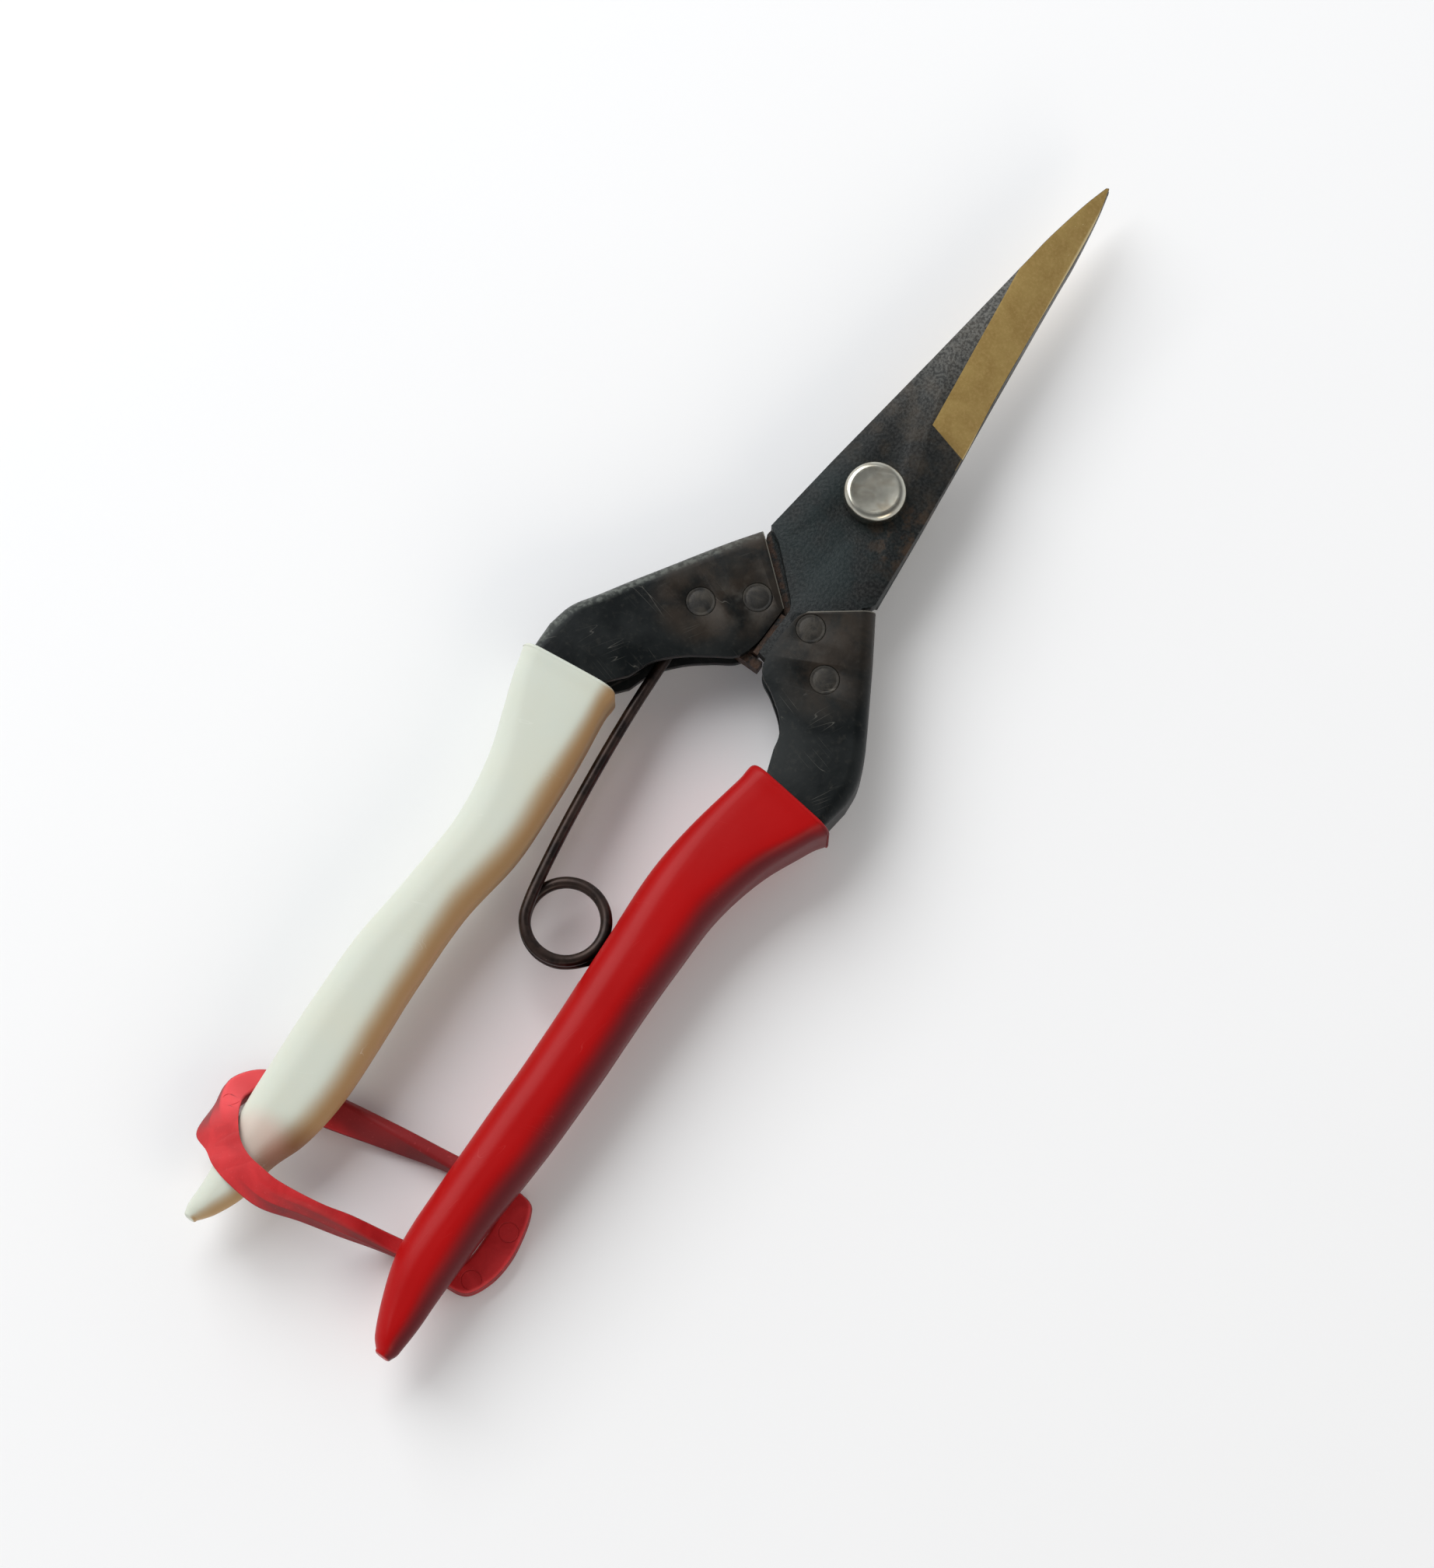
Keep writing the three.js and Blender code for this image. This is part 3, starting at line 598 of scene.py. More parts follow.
def bevel_wedge():
    """What the grinding takes off: from the ridge line down to the cutting edge."""
    width, ridge_x, ridge_y, ridge_lean = 6.0, 0.3, 14.8, 0.138
    reach, lift, heel, heel_slope, past_tip = 12.0, 1.5, 12.8, -0.2, 4
    slope = (FRONT_TOP - FRONT_BOTTOM - EDGE_LEFT) / width
    rings = []
    for y, run in ((heel, heel_slope), (TIP_Y + past_tip, 0)):
        ridge = ridge_x - ridge_lean * (y - ridge_y)
        back = lift if run else 0
        far_x, far_y = ridge + reach, y + run * reach
        rings.append([
            (ridge, y, FRONT_TOP), (far_x, far_y, FRONT_TOP - slope * reach),
            (far_x, far_y - back, FRONT_TOP + lift), (ridge - lift, y - back, FRONT_TOP + lift),
        ])
    return loft("tool", rings)


def turn_over(target):
    """Turns a front blade into a rear one: half a turn about the Y axis, in the middle plane."""
    target.data.transform(Matrix.Translation((0, 0, 2 * MIDDLE)) @ Matrix.Rotation(math.pi, 4, "Y"))


def stop_lug():
    """Closing stop beside the front tang, and the small tab at the end of the rear tang."""
    lug = [(-0.75, -27.2), (0, -27.2), (0, -20.6), (-0.75, -20.6)]
    tab = [(-3.0, -28.7), (1.0, -28.7), (1.0, -27.4), (-3.0, -27.4)]
    return [plate("tool", lug, MIDDLE - 1.5, MIDDLE + 0.9),
            plate("tool", tab, REAR_BOTTOM, REAR_BOTTOM + PLATE)]


def blade(name, rivets, front):
    made = plate(name, blade_outline(), FRONT_BOTTOM, FRONT_TOP)
    combine(made, [bevel_wedge()])
    if not front:
        turn_over(made)
        combine(made, stop_lug(), "UNION")
    holes = [post((0, 0), SHANK_RADIUS + RUNNING_GAP, 0, HEAD_TOP, 96)]
    holes += [post(at, RIVET_RADIUS + RUNNING_GAP, 0, HEAD_TOP) for at in rivets]
    combine(made, holes)
    round_edges(made, width=0.14)
    sign = 1 if front else -1
    finishes = [blade_finish(name + "_plate", sign), ground_finish(name + "_ground", front)]
    piece(made, "red_half" if front else "white_half", finishes, name)
    for face in made.data.polygons:
        ground = 0.2 < sign * face.normal.x < 0.5 and sign * face.normal.z > 0.8
        face.material_index = 1 if ground and face.center.y > 10 * MM else 0
    return made


# Handles ------------------------------------------------------------------------------------------
# A station is a flat cut through a handle: outer point, inner point, bottom, top and edge rounding.
TANG_FOLD = 2.0  # outer radius of the shells' fold
REFINE = 8  # sections made for each span between stations
BEAD = 0.55  # how far the grips' mouths bulge towards the blades
FLARE, FLARE_REACH = 0.3, 1.1  # how far a grip widens at its mouth, and how far along this fades
TIP_RINGS, TIP_INSET, TIP_LENGTH = 4, 0.35, 0.4  # rounding of a grip's closed end
TIGHTEST = 0.48  # most of a side that one rounded corner may take


def grip_stations(rows):
    """Stations from rows of outer x and y, inner x and y, and thickness."""
    stations = []
    for outer_x, outer_y, inner_x, inner_y, thickness in rows:
        rounding = lerp(2.3, 3.9, smoothstep(-outer_y, 42, 66))
        half = thickness / 2
        stations.append((outer_x, outer_y, inner_x, inner_y, MIDDLE - half, MIDDLE + half, rounding))
    return stations


WHITE_GRIP = grip_stations([
    (-25.85, -44.75, -12.3, -43.2, 10.6),
    (-25.2, -48.0, -11.8, -47.0, 10.6),
    (-23.2, -53.5, -10.8, -53.2, 10.5),
    (-21.0, -60.0, -10.0, -60.0, 10.4),
    (-19.4, -69.0, -9.4, -69.0, 10.3),
    (-19.75, -80.0, -10.5, -80.0, 10.2),
    (-20.4, -91.0, -9.95, -91.0, 10.0),
    (-20.1, -101.0, -9.1, -101.0, 9.4),
    (-19.5, -110.5, -8.55, -110.5, 8.4),
    (-18.9, -117.4, -9.3, -117.4, 7.4),
    (-18.2, -122.0, -10.75, -122.0, 6.4),
    (-17.2, -128.0, -11.6, -128.0, 4.9),
    (-17.0, -131.6, -13.1, -131.6, 4.2),
    (-16.9, -132.8, -13.9, -132.8, 3.6),
    (-16.6, -133.8, -14.7, -133.8, 2.6),
])
RED_GRIP = grip_stations([
    (22.64, -41.95, 9.14, -40.35, 10.6),
    (21.0, -45.6, 8.2, -45.0, 10.6),
    (18.6, -51.6, 7.0, -51.5, 10.5),
    (17.0, -60.0, 6.25, -60.0, 10.4),
    (16.95, -69.0, 6.7, -69.0, 10.3),
    (17.3, -80.0, 7.5, -80.0, 10.2),
    (17.7, -91.0, 8.05, -91.0, 10.0),
    (17.85, -101.0, 8.3, -101.0, 9.4),
    (17.6, -110.5, 8.55, -110.5, 8.6),
    (17.6, -117.4, 8.85, -117.4, 7.8),
    (17.6, -122.3, 9.6, -122.3, 6.8),
    (17.8, -128.0, 11.6, -128.0, 5.2),
    (17.7, -131.6, 13.3, -131.6, 4.4),
    (17.65, -132.7, 14.0, -132.7, 3.8),
    (17.3, -133.6, 14.9, -133.6, 2.8),
])
REAR_LOW, REAR_HIGH = LEFT_SHEETS
LEFT_SHOULDER = [
    (-9.9, -12.3, -0.9, -19.8, REAR_LOW, REAR_HIGH, TANG_FOLD),
    (-12.4, -15.95, -0.9, -22.2, REAR_LOW, REAR_HIGH, TANG_FOLD),
    (-14.5, -19.25, -0.95, -25.5, REAR_LOW, REAR_HIGH, TANG_FOLD),
    (-17.5, -24.15, -2.0, -28.8, REAR_LOW, REAR_HIGH, TANG_FOLD),
    (-20.2, -28.6, -4.9, -31.0, REAR_LOW, REAR_HIGH + 0.2, TANG_FOLD),
    (-22.5, -33.0, -7.9, -33.5, REAR_LOW - 0.1, REAR_HIGH + 1.2, TANG_FOLD),
    (-24.4, -36.8, -10.6, -36.9, REAR_LOW - 0.2, REAR_HIGH + 2.4, TANG_FOLD),
    (-25.1, -40.5, -11.9, -40.4, REAR_LOW - 0.4, REAR_HIGH + 2.9, TANG_FOLD),
]
FRONT_LOW, FRONT_HIGH = RIGHT_SHEETS
RIGHT_SHOULDER = [
    (9.75, -13.3, 2.45, -18.85, FRONT_LOW, FRONT_HIGH, TANG_FOLD),
    (10.3, -14.2, 1.75, -20.1, FRONT_LOW, FRONT_HIGH, TANG_FOLD),
    (11.6, -16.2, 1.5, -22.2, FRONT_LOW, FRONT_HIGH, TANG_FOLD),
    (13.7, -19.5, 1.45, -25.5, FRONT_LOW, FRONT_HIGH, TANG_FOLD),
    (16.2, -23.6, 2.2, -29.2, FRONT_LOW, FRONT_HIGH, TANG_FOLD),
    (18.5, -27.4, 5.1, -31.0, FRONT_LOW - 0.3, FRONT_HIGH, TANG_FOLD),
    (20.5, -31.0, 7.8, -33.0, FRONT_LOW - 1.4, FRONT_HIGH, TANG_FOLD),
    (21.9, -34.6, 9.4, -35.3, FRONT_LOW - 2.5, FRONT_HIGH, TANG_FOLD),
    (22.2, -37.6, 9.9, -37.2, FRONT_LOW - 2.9, FRONT_HIGH, TANG_FOLD),
]


def ends(station):
    """Outer and inner point of a station."""
    return Vector(station[0:2]), Vector(station[2:4])


def inset(station, by):
    """The same cut, smaller by a distance on every side."""
    outer, inner = ends(station)
    across = (inner - outer).normalized() * by
    bottom, top, rounding = station[4:7]
    return Vector((*(outer + across), *(inner - across), bottom + by, top - by, rounding - by))


def shifted(station, by):
    """The same cut, moved along the handle towards the blades."""
    outer, inner = ends(station)
    across = (inner - outer).normalized()
    forward = Vector((-across.y, across.x))
    forward *= by if forward.y > 0 else -by
    return Vector((*(outer + forward), *(inner + forward), *station[4:7]))


def placed(station, outline):
    """Puts a flat outline (distance from the outer point, height) into the station's plane."""
    outer, inner = ends(station)
    across = (inner - outer).normalized()
    return [Vector((*(outer + across * x), z)) for x, z in outline]


def grip_ring(station, crown=0.22):
    """Rounded section with softly crowned faces."""
    outer, inner = ends(station)
    width = (inner - outer).length
    bottom, top, rounding = station[4:7]
    radius = min(rounding, width * TIGHTEST, (top - bottom) * TIGHTEST)
    corners = [(width - radius, top - radius), (radius, top - radius), (radius, bottom + radius),
               (width - radius, bottom + radius)]
    outline = []
    for k, (x, z) in enumerate(corners):
        turned = arc(x, z, radius, 90 * k, 90 * k + 90)
        following = arc(*corners[(k + 1) % 4], radius, 90 * k + 90, 90 * k + 180)[0]
        outline += turned
        outline += [(lerp(turned[-1][0], following[0], s), lerp(turned[-1][1], following[1], s))
                    for s in (0.2, 0.4, 0.6, 0.8)]
    middle, half = (bottom + top) / 2, (top - bottom) / 2
    crowned = []
    for x, z in outline:
        lift = crown * (1 - (2 * x / width - 1) ** 2) * (z - middle) / half
        crowned.append((x, z + lift))
    return placed(station, crowned)


def uneven(rings, amount, size):
    """Slight hand-made unevenness of a soft surface, away from each ring's middle."""
    for ring in rings:
        middle = sum(ring, Vector()) / len(ring)
        for point in ring:
            point += (point - middle).normalized() * amount * noise.noise(point / size)


def grip(name, rows):
    """Sleeve with a rolled bead at its mouth and a closed, rounded tip."""
    outside = spline(rows, REFINE)
    outside[0] = shifted(outside[0], -BEAD)
    flared = []
    for station in outside:
        distance = (ends(station)[0] - ends(outside[0])[0]).length
        flared.append(inset(station, -FLARE * math.exp(-((distance / FLARE_REACH) ** 2))))
    bead = []
    for k in range(1, 8):
        turn = math.pi * k / 8
        by = lerp(-FLARE, GRIP_WALL, (1 - math.cos(turn)) / 2)
        bead.append(shifted(inset(outside[0], by), BEAD * math.sin(turn)))
    hollow_spans = len(rows) - 5  # beyond them the tip is solid
    hollow = [inset(s, GRIP_WALL) for s in outside[: REFINE * hollow_spans + 1 : 2]]
    tip = []
    for k in range(1, TIP_RINGS + 1):
        turn = math.pi / 2 * k / (TIP_RINGS + 0.5)
        by = TIP_INSET * (1 - math.cos(turn))
        tip.append(shifted(inset(outside[-1], by), -TIP_LENGTH * math.sin(turn)))
    skin = [grip_ring(s) for s in [*reversed(tip), *reversed(flared), *bead]]
    uneven(skin, amount=0.09, size=9.0)
    return loft(name, skin + [grip_ring(s, 0) for s in hollow])


def channel_ring(station):
    """Section of a pressed shell: two sheets and the fold between them, open to the inner side."""
    outer, inner = ends(station)
    width = (inner - outer).length
    bottom, top, rounding = station[4:7]
    fold = min(rounding, (top - bottom) * 0.45)
    within = fold - SHEET
    outline = [(width, top)]
    outline += arc(fold, top - fold, fold, 90, 180)
    outline += arc(fold, bottom + fold, fold, 180, 270)
    outline += [(width, bottom), (width, bottom + SHEET)]
    outline += arc(fold, bottom + fold, within, 270, 180)
    outline += arc(fold, top - fold, within, 180, 90)
    outline += [(width, top - SHEET)]
    return placed(station, outline)


def shell(name, shoulder, grip_rows, rivets, body, finish):
    """Pressed channel: bare at the shoulder, then inside the grip, clear of its rounded inner side."""
    spans_inside, set_back = 9, 0.8
    tang = []
    for station in spline(grip_rows, REFINE)[: REFINE * spans_inside : 2]:
        fitted = inset(station, GRIP_WALL + GRIP_FIT)
        outer, inner = ends(fitted)
        inner -= (inner - outer).normalized() * set_back * fitted[6]
        tang.append(Vector((*outer, *inner, *fitted[4:7])))
    made = loft(name, [channel_ring(s) for s in [*spline(shoulder, REFINE), *tang]])
    combine(made, [post(at, RIVET_RADIUS + RIVET_GROOVE, 0, HEAD_TOP) for at in rivets])
    round_edges(made, width=0.12)
    piece(made, body, [finish], name).name = name.replace("handle_shell", "shell_pressing")


def rivet(name, body, sheets, finish):
    """Peened over: a low dome inside a fine rim."""
    low, high = sheets
    face = [(0.02, 0.05), (0.8, 0.04), (1.5, 0.01), (1.62, -0.02), (1.7, 0.0), (1.94, -0.01),
            (RIVET_RADIUS, -0.1)]
    profile = [(r, high + z) for r, z in face] + [(r, low - z) for r, z in reversed(face)]
    made = lathe(name, profile, centre(name), 72)
    return piece(made, body, [finish], name)


# Pivot --------------------------------------------------------------------------------------------
def pivot_bolt(finish):
    """Head with a rounded rim and a flat a little below it, on a shank with a hollowed end."""
    rim, chamfer, edge, dish = 1.0, 0.4, 0.25, 0.05
    head_bottom = HEAD_TOP - HEAD_HEIGHT
    profile = [(0.02, 0.12), (SHANK_RADIUS - chamfer - 0.3, 0.0), (SHANK_RADIUS - chamfer, 0.0),
               (SHANK_RADIUS, chamfer), (SHANK_RADIUS, head_bottom), (HEAD_RADIUS - edge, head_bottom)]
    profile += arc(HEAD_RADIUS - edge, head_bottom + edge, edge, -90, 0, 4)
    profile += arc(HEAD_RADIUS - rim, HEAD_TOP - rim, rim, 0, 86, 12)
    profile += [(HEAD_RADIUS - rim - 0.2, HEAD_TOP - 0.03), (1.6, HEAD_TOP - dish), (0.02, HEAD_TOP - dish)]
    made = lathe("pivot_bolt_turned", profile)
    return piece(made, "white_half", [finish], "pivot_bolt", 50)


def pivot_washer(finish):
    low, high = heights("pivot_washer")
    inner, outer, edge = SHANK_RADIUS + RUNNING_GAP, half_width("pivot_washer"), 0.22
    made = lathe("pivot_washer_turned", arc(outer - edge, low + edge, edge, -90, 0, 4)
                 + arc(outer - edge, high - edge, edge, 0, 90, 4) + [(0.5, high), (0.5, low)])
    combine(made, [post((0, 0), inner, 0, HEAD_TOP, 96)])
    return piece(made, "white_half", [finish], "pivot_washer")


def pivot_nut(finish):
    """Hexagon with its corners turned off at both ends."""
    low, high = heights("pivot_nut")
    radius = half_width("pivot_nut")
    flats = radius * math.cos(math.pi / 6)
    corners = [(radius * math.cos(math.pi / 3 * i), radius * math.sin(math.pi / 3 * i)) for i in range(6)]
    made = plate("pivot_nut_turned", corners, low, high)
    within, clear, steepness = 0.15, 0.01, 0.58
    drop = (radius - flats + within) * steepness
    cone = lathe("tool", [(flats - within, low), (radius + clear, low + drop), (radius + clear, high - drop),
                          (flats - within, high)])
    combine(made, [cone], "INTERSECT")
    combine(made, [post((0, 0), SHANK_RADIUS + RUNNING_GAP, -1, HEAD_TOP, 96)])
    round_edges(made, width=0.08, angle=25)
    return piece(made, "white_half", [finish], "pivot_nut", 30)


# Return spring ------------------------------------------------------------------------------------
COIL_CENTRE = Vector((0.85, -72.25))
COIL_RADIUS = 5.5
COIL_START, COIL_END, COIL_STEP = -45, -530, 24.25  # degrees, clockwise
COIL_LOW, COIL_PITCH = 7.3, 1.75


def spring_route():
    """Middle line of the wire: short leg in the red grip, coil, long leg to the left shell."""
    points = [(12.4, -65.4, COIL_LOW), (10.6, -69.3, COIL_LOW), (7.7, -72.7, COIL_LOW)]
    for i in range(int((COIL_START - COIL_END) / COIL_STEP) + 1):
        turned = i * COIL_STEP
        angle = math.radians(COIL_START - turned)
        x, y = COIL_CENTRE + COIL_RADIUS * Vector((math.cos(angle), math.sin(angle)))
        points.append((x, y, COIL_LOW + COIL_PITCH * turned / 360))
    points += [(-6.3, -65.0, 9.5), (-7.9, -55.0, 9.1), (-9.2, -44.5, 8.6), (-9.9, -36.5, 7.9),
               (-10.2, -31.6, 7.2)]
    return spline(points, 8)


def tube(name, route, radius, sides=20):
    """Round wire along a route, with rounded ends."""
    end_share = 0.72
    rings = []
    side = Vector((0, 0, 1))
    for i, point in enumerate(route):
        ahead = (route[min(i + 1, len(route) - 1)] - route[max(i - 1, 0)]).normalized()
        side = (side - ahead * side.dot(ahead)).normalized()
        other = ahead.cross(side)
        turns = [2 * math.pi * k / sides for k in range(sides)]
        around = radius * end_share if i in (0, len(route) - 1) else radius
        rings.append([point + (side * math.cos(t) + other * math.sin(t)) * around for t in turns])
    return loft(name, rings)


def return_spring(finish):
    made = piece(tube("return_spring_wire", spring_route(), WIRE_RADIUS), None, [finish],
                 "return_spring", 60)
    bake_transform(made)
    return made


# Strap ring ---------------------------------------------------------------------------------------
# Stations round the moulded rubber loop: its outer top edge, its inner top edge, and the way down the
# band's side. The left end leans over the white handle's edge.
STRAP = [
    ((21.5, -112.9, 3.4), (16.9, -112.9, 3.4), (0, 0, -3.2)),
    ((20.9, -109.2, 3.4), (16.7, -110.2, 3.4), (0, 0, -3.2)),
    ((20.1, -106.6, 3.4), (16.3, -108.8, 3.4), (0, 0, -3.2)),
    ((19.2, -105.2, 3.4), (15.6, -108.0, 3.4), (0, 0, -3.2)),
    ((17.2, -104.8, 3.4), (14.4, -107.5, 3.4), (0, 0, -3.2)),
    ((13.0, -104.8, 3.4), (11.6, -107.4, 3.4), (0, 0, -3.2)),
    ((7.4, -105.6, 3.3), (7.4, -107.8, 3.5), (0, -0.3, -3.2)),
    ((-1.0, -106.7, 3.4), (-1.0, -108.4, 4.3), (0, -2.3, -3.2)),
    ((-9.2, -108.0, 2.2), (-9.2, -108.9, 3.8), (0, -4.2, -1.9)),
    ((-15.4, -109.2, 1.7), (-14.9, -110.4, 3.4), (-0.2, -4.0, -1.4)),
    ((-21.0, -111.3, 2.6), (-19.0, -113.2, 3.9), (-0.5, -2.5, -2.2)),
    ((-23.2, -114.8, 4.6), (-19.7, -115.4, 5.2), (-0.6, -1.6, -3.6)),
    ((-22.5, -118.3, 7.0), (-19.3, -117.6, 8.8), (-0.7, -1.2, -4.0)),
    ((-19.6, -121.0, 10.0), (-16.85, -120.9, 12.4), (-2.8, -3.4, -4.0)),
    ((-17.0, -122.9, 11.4), (-15.3, -122.2, 13.0), (-2.6, -2.8, -3.0)),
    ((-14.2, -124.2, 13.0), (-13.2, -123.1, 14.1), (-3.0, -2.9, -2.7)),
    ((-11.3, -124.9, 14.2), (-10.9, -123.4, 14.8), (-2.6, -3.1, -2.8)),
    ((-8.0, -125.2, 14.6), (-8.3, -123.5, 14.4), (-1.2, -3.1, -3.2)),
    ((-2.8, -124.0, 12.4), (-2.3, -122.4, 11.9), (-0.6, -2.2, -3.3)),
    ((1.5, -122.9, 9.0), (1.6, -120.9, 8.5), (-0.1, -1.5, -3.4)),
    ((6.9, -121.7, 4.2), (6.9, -119.4, 4.0), (0, -0.3, -3.3)),
    ((11.0, -121.0, 3.4), (11.2, -118.5, 3.4), (0, 0, -3.2)),
    ((16.0, -120.8, 3.4), (14.4, -118.0, 3.4), (0, 0, -3.2)),
    ((19.4, -120.1, 3.4), (16.4, -117.2, 3.4), (0, 0, -3.2)),
    ((21.1, -116.9, 3.4), (16.9, -115.5, 3.4), (0, 0, -3.2)),
]


def band_ring(outer_top, inner_top, down):
    """Rounded four-sided section, with a fine mould line along its outer side."""
    across = inner_top - outer_top
    rounding, line, half_line = 0.6, 0.07, 0.14
    width, height = across.length, down.length
    outline = [(0.0, height / 2 - half_line), (-line, height / 2), (0.0, height / 2 + half_line)]
    outline += arc(rounding, height - rounding, rounding, 180, 90, 6)
    outline += arc(width - rounding, height - rounding, rounding, 90, 0, 6)
    outline += arc(width - rounding, rounding, rounding, 0, -90, 6)
    outline += arc(rounding, rounding, rounding, 270, 180, 6)
    return [outer_top + across * (x / width) + down * (z / height) for x, z in outline]


PIN_RADIUS, PIN_GROOVE, PIN_STEPS = 1.35, 0.09, 48


def pin_mark(middle, across, along):
    """Torus for the shallow circle that a mould's ejector pin leaves; across and along lie in the face."""
    across = across.normalized()
    along = (along - across * along.dot(across)).normalized()
    up = across.cross(along)
    up = up if up.z > 0 else -up
    groove = arc(PIN_RADIUS, 0.02, PIN_GROOVE, 0, 330, 11)
    rings = []
    for i in range(PIN_STEPS):
        turn = 2 * math.pi * i / PIN_STEPS
        outward = across * math.cos(turn) + along * math.sin(turn)
        rings.append([middle + outward * r + up * z for r, z in groove])
    return loft("tool", rings, closed=True)


def pin_marks():
    """Two on the flat free end, one on the left end."""
    top = STRAP[0][0][2]
    flat = [Vector((19.1, -110.1, top)), Vector((18.9, -118.2, top))]
    marks = [pin_mark(middle, Vector((1, 0, 0)), Vector((0, 1, 0))) for middle in flat]
    before, here, after = ([Vector(p) for p in STRAP[k]] for k in (11, 12, 13))
    middle = here[0].lerp(here[1], 0.48)
    marks.append(pin_mark(middle, here[1] - here[0], after[0] + after[1] - before[0] - before[1]))
    return marks


def strap_ring(finish):
    rows = [[value for point in row for value in point] for row in STRAP]
    rings = [band_ring(Vector(p[0:3]), Vector(p[3:6]), Vector(p[6:9])) for p in spline(rows, 10, closed=True)]
    made = loft("strap_ring_band", rings, closed=True)
    combine(made, pin_marks())
    return piece(made, "strap", [finish], "strap_ring", 50)


# Stage --------------------------------------------------------------------------------------------
SIDES, OVERHEAD = 0.92, 0.22  # brightness of the studio's pale walls and of its darker ceiling


def build_floor():
    """White board under the bolt's end, which the pruner stands on."""
    reach, level = 1500, -0.05
    corners = [(-reach, -reach, level), (reach, -reach, level), (reach, reach, level), (-reach, reach, level)]
    floor = new_object("floor", corners, [(0, 1, 2, 3)])
    floor.data.transform(Matrix.Scale(MM, 4))
    floor.data.materials.append(floor_finish())


def area_light(name, direction, distance, size, power, colour):
    """Soft box that looks at the middle of the object."""
    aim = (cad_low + cad_high) / 2
    data = bpy.data.lights.new(name, "AREA")
    data.shape = "RECTANGLE"
    data.size, data.size_y = size
    data.energy = power
    data.color = colour
    light = bpy.data.objects.new(name, data)
    bpy.context.scene.collection.objects.link(light)
    away = Vector(direction).normalized()
    light.location = aim + away * distance
    light.rotation_euler = away.to_track_quat("Z", "Y").to_euler()


def build_lights():
    """Cool key from the left, warm fill from the right, and a studio whose ceiling is darker."""
    area_light("key_light", (-0.95, 0.25, 1.0), 1.2, (1.0, 1.0), 12.4, (0.98, 0.99, 1.0))
    area_light("warm_fill", (1.0, -0.5, 0.7), 1.3, (0.6, 0.6), 2.6, (1.0, 0.88, 0.72))
    world = bpy.data.worlds.new("studio")
    world.use_nodes = True
    nodes, links = world.node_tree.nodes, world.node_tree.links
    split = nodes.new("ShaderNodeSeparateXYZ")
    links.new(nodes.new("ShaderNodeTexCoord").outputs["Generated"], split.inputs[0])
    rise = nodes.new("ShaderNodeMapRange")
    rise.interpolation_type = "SMOOTHSTEP"
    links.new(split.outputs["Z"], rise.inputs["Value"])
    for socket, value in (("From Min", 0.2), ("From Max", 0.92), ("To Min", SIDES), ("To Max", OVERHEAD)):
        rise.inputs[socket].default_value = value
    background = nodes["Background"]
    background.inputs["Color"].default_value = (0.95, 0.97, 1.0, 1.0)
    links.new(rise.outputs["Result"], background.inputs["Strength"])
    bpy.context.scene.world = world


def build_camera():
    """Looks down on the open face from below right of the handles, a little off the vertical."""
    target = Vector((5.983, -44.734, 8.0)) * MM
    distance, tilt, heading, roll = 900 * MM, math.radians(14), 0.623, 0.006
    back = Vector((math.sin(tilt) * math.sin(heading), -math.sin(tilt) * math.cos(heading), math.cos(tilt)))
    upward = Vector((-math.sin(heading + roll), math.cos(heading + roll), 0))
    right = (-back).cross(upward).normalized()
    up = right.cross(-back)
    data = bpy.data.cameras.new("camera")
    data.sensor_fit = "HORIZONTAL"
    data.sensor_width = 36
    data.lens = 167.24
    camera = bpy.data.objects.new("camera", data)
    bpy.context.scene.collection.objects.link(camera)
    turned = Matrix((right, up, back)).transposed().to_4x4()
    camera.matrix_world = Matrix.Translation(target + back * distance) @ turned
    bpy.context.scene.camera = camera


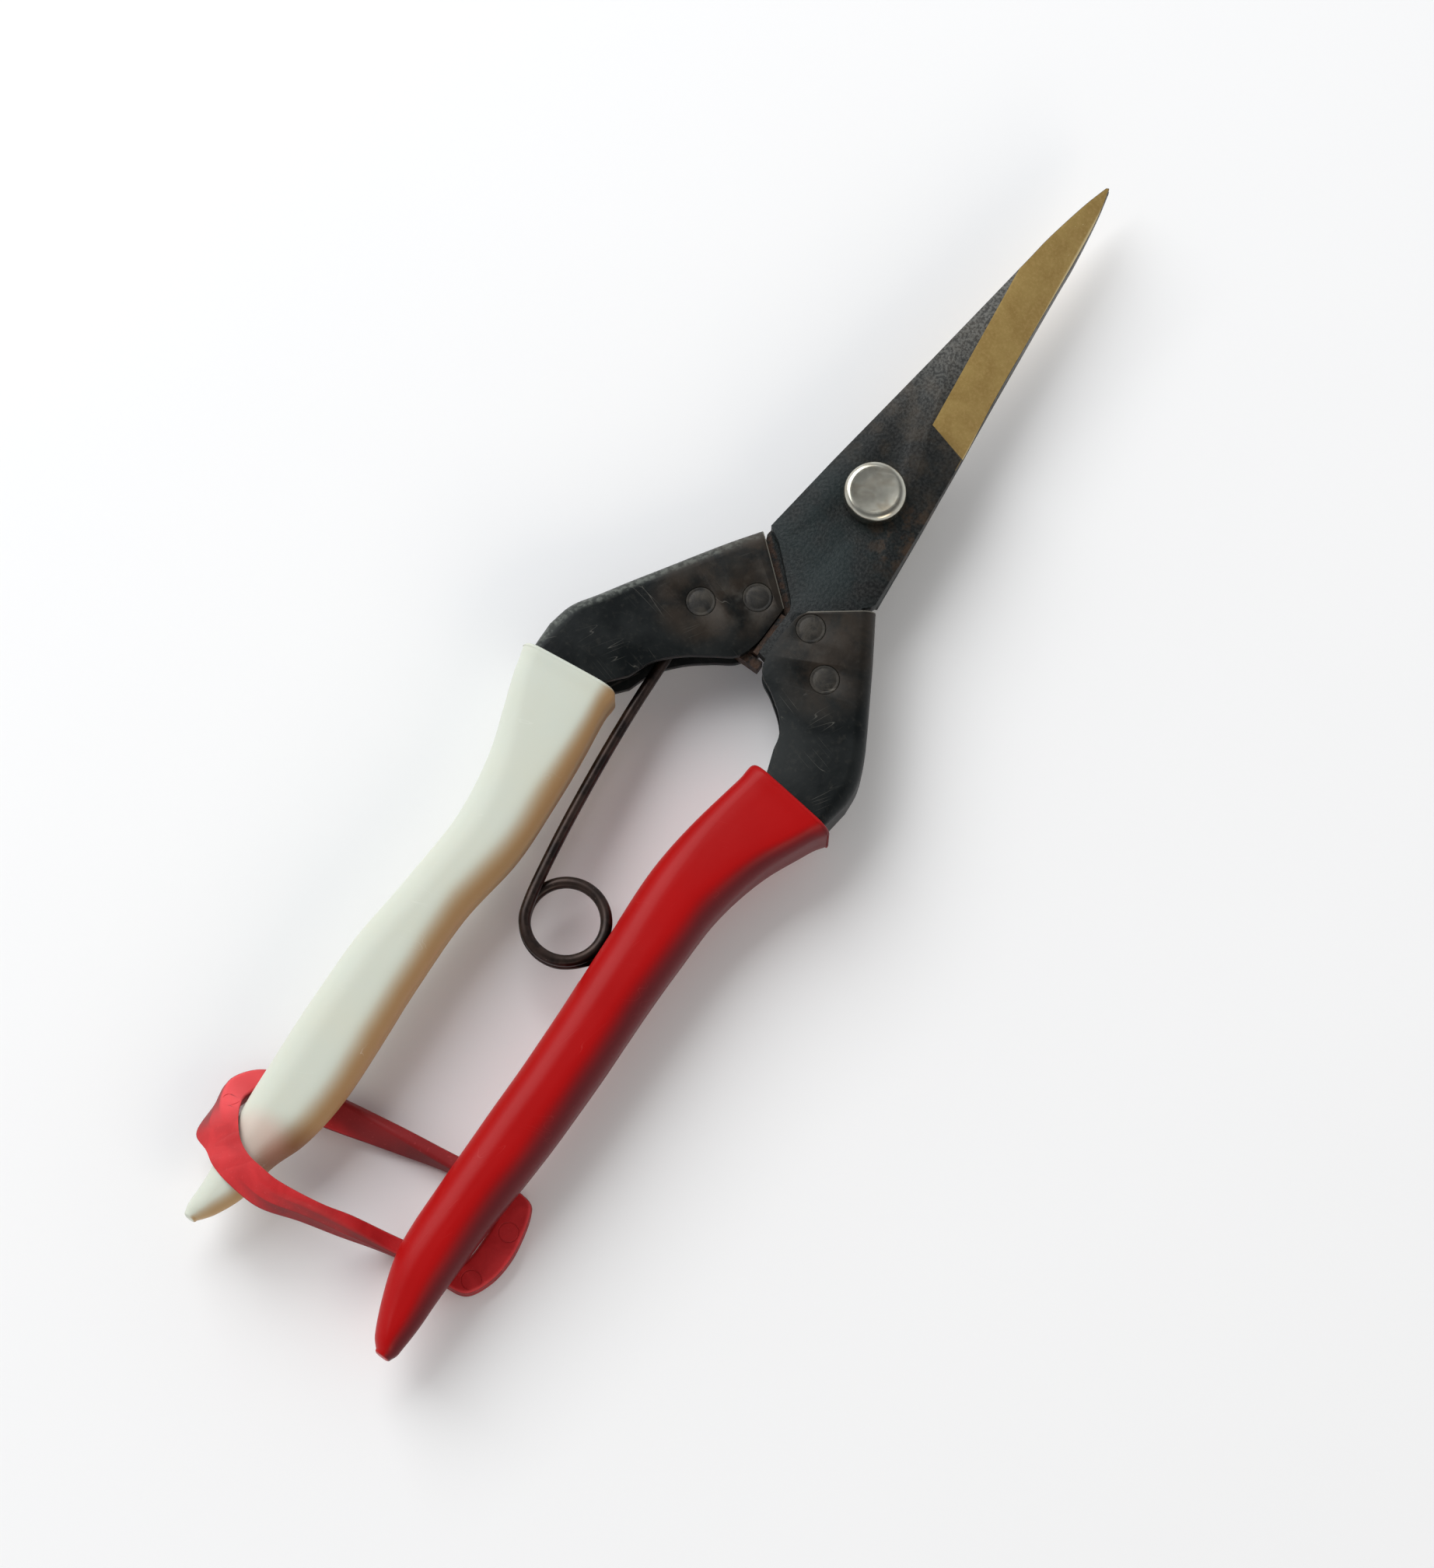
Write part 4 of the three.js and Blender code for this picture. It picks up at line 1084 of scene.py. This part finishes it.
# Assembly -----------------------------------------------------------------------------------------
def build_pruner():
    """All pieces, from the blades outwards."""
    left_rivets = [centre("left_upper_rivet"), centre("left_lower_rivet")]
    right_rivets = [centre("right_upper_rivet"), centre("right_lower_rivet")]
    blade("rear_blade", left_rivets, front=False).name = "rear_blade_plate"
    blade("front_blade", right_rivets, front=True).name = "front_blade_plate"
    left_steel = shell_finish("left_shell_steel", -1, left_rivets, LEFT_SHOULDER)
    right_steel = shell_finish("right_shell_steel", 1, right_rivets, RIGHT_SHOULDER)
    shell("left_handle_shell", LEFT_SHOULDER, WHITE_GRIP, left_rivets, "white_half", left_steel)
    shell("right_handle_shell", RIGHT_SHOULDER, RED_GRIP, right_rivets, "red_half", right_steel)
    peened = rivet_finish("peened_steel")
    for side, body, sheets in (("left", "white_half", LEFT_SHEETS), ("right", "red_half", RIGHT_SHEETS)):
        for place in ("upper", "lower"):
            rivet(f"{side}_{place}_rivet", body, sheets, peened).name = f"{side}_{place}_rivet_peened"
    polished = polished_finish("polished_steel")
    pivot_bolt(polished)
    pivot_washer(polished)
    pivot_nut(polished)
    build_grips()
    return_spring(spring_finish("spring_steel"))
    strap_ring(rubber_finish("strap_rubber"))


def build_grips():
    """White sleeve with a painted shadow and a painted pink reflection where the ring crosses it, and red
    sleeve with the spring's slot.
    """
    # Painted shadow of the ring, and painted pink light reflected from it, on the white sleeve.
    ring_painted_shadow = ((-11.0, -119.5, MIDDLE), 1.5, 6.5, 0.8, tone(128, 84, 58))
    ring_painted_reflection = ((-14.5, -121.5, MIDDLE + 3), 2.5, 6.0, 0.35, tone(222, 170, 160))
    # The wall tones, tan on the white sleeve and dark red on the red one, are painted shade.
    white = vinyl_finish("white_vinyl", (tone(203, 210, 200), tone(208, 208, 190)), tone(176, 146, 104), 1,
                         tone(236, 238, 230), 0.34, [ring_painted_shadow, ring_painted_reflection])
    red = vinyl_finish("red_vinyl", (tone(178, 16, 17), tone(160, 13, 14)), tone(92, 20, 25), 1,
                       tone(206, 90, 88), 0.26)
    white_sleeve = grip("white_grip_sleeve", WHITE_GRIP)
    piece(white_sleeve, "white_half", [white], "white_grip")
    red_sleeve = grip("red_grip_sleeve", RED_GRIP)
    slot_outline = [(4.0, -78.0), (8.4, -78.0), (8.4, -68.5), (4.0, -68.5)]
    combine(red_sleeve, [plate("tool", slot_outline, COIL_LOW - 1.4, COIL_LOW + 3.4)])
    piece(red_sleeve, "red_half", [red], "red_grip")


bpy.context.scene.view_settings.view_transform = "Standard"
build_camera()
build_lights()
build_floor()
build_pruner()
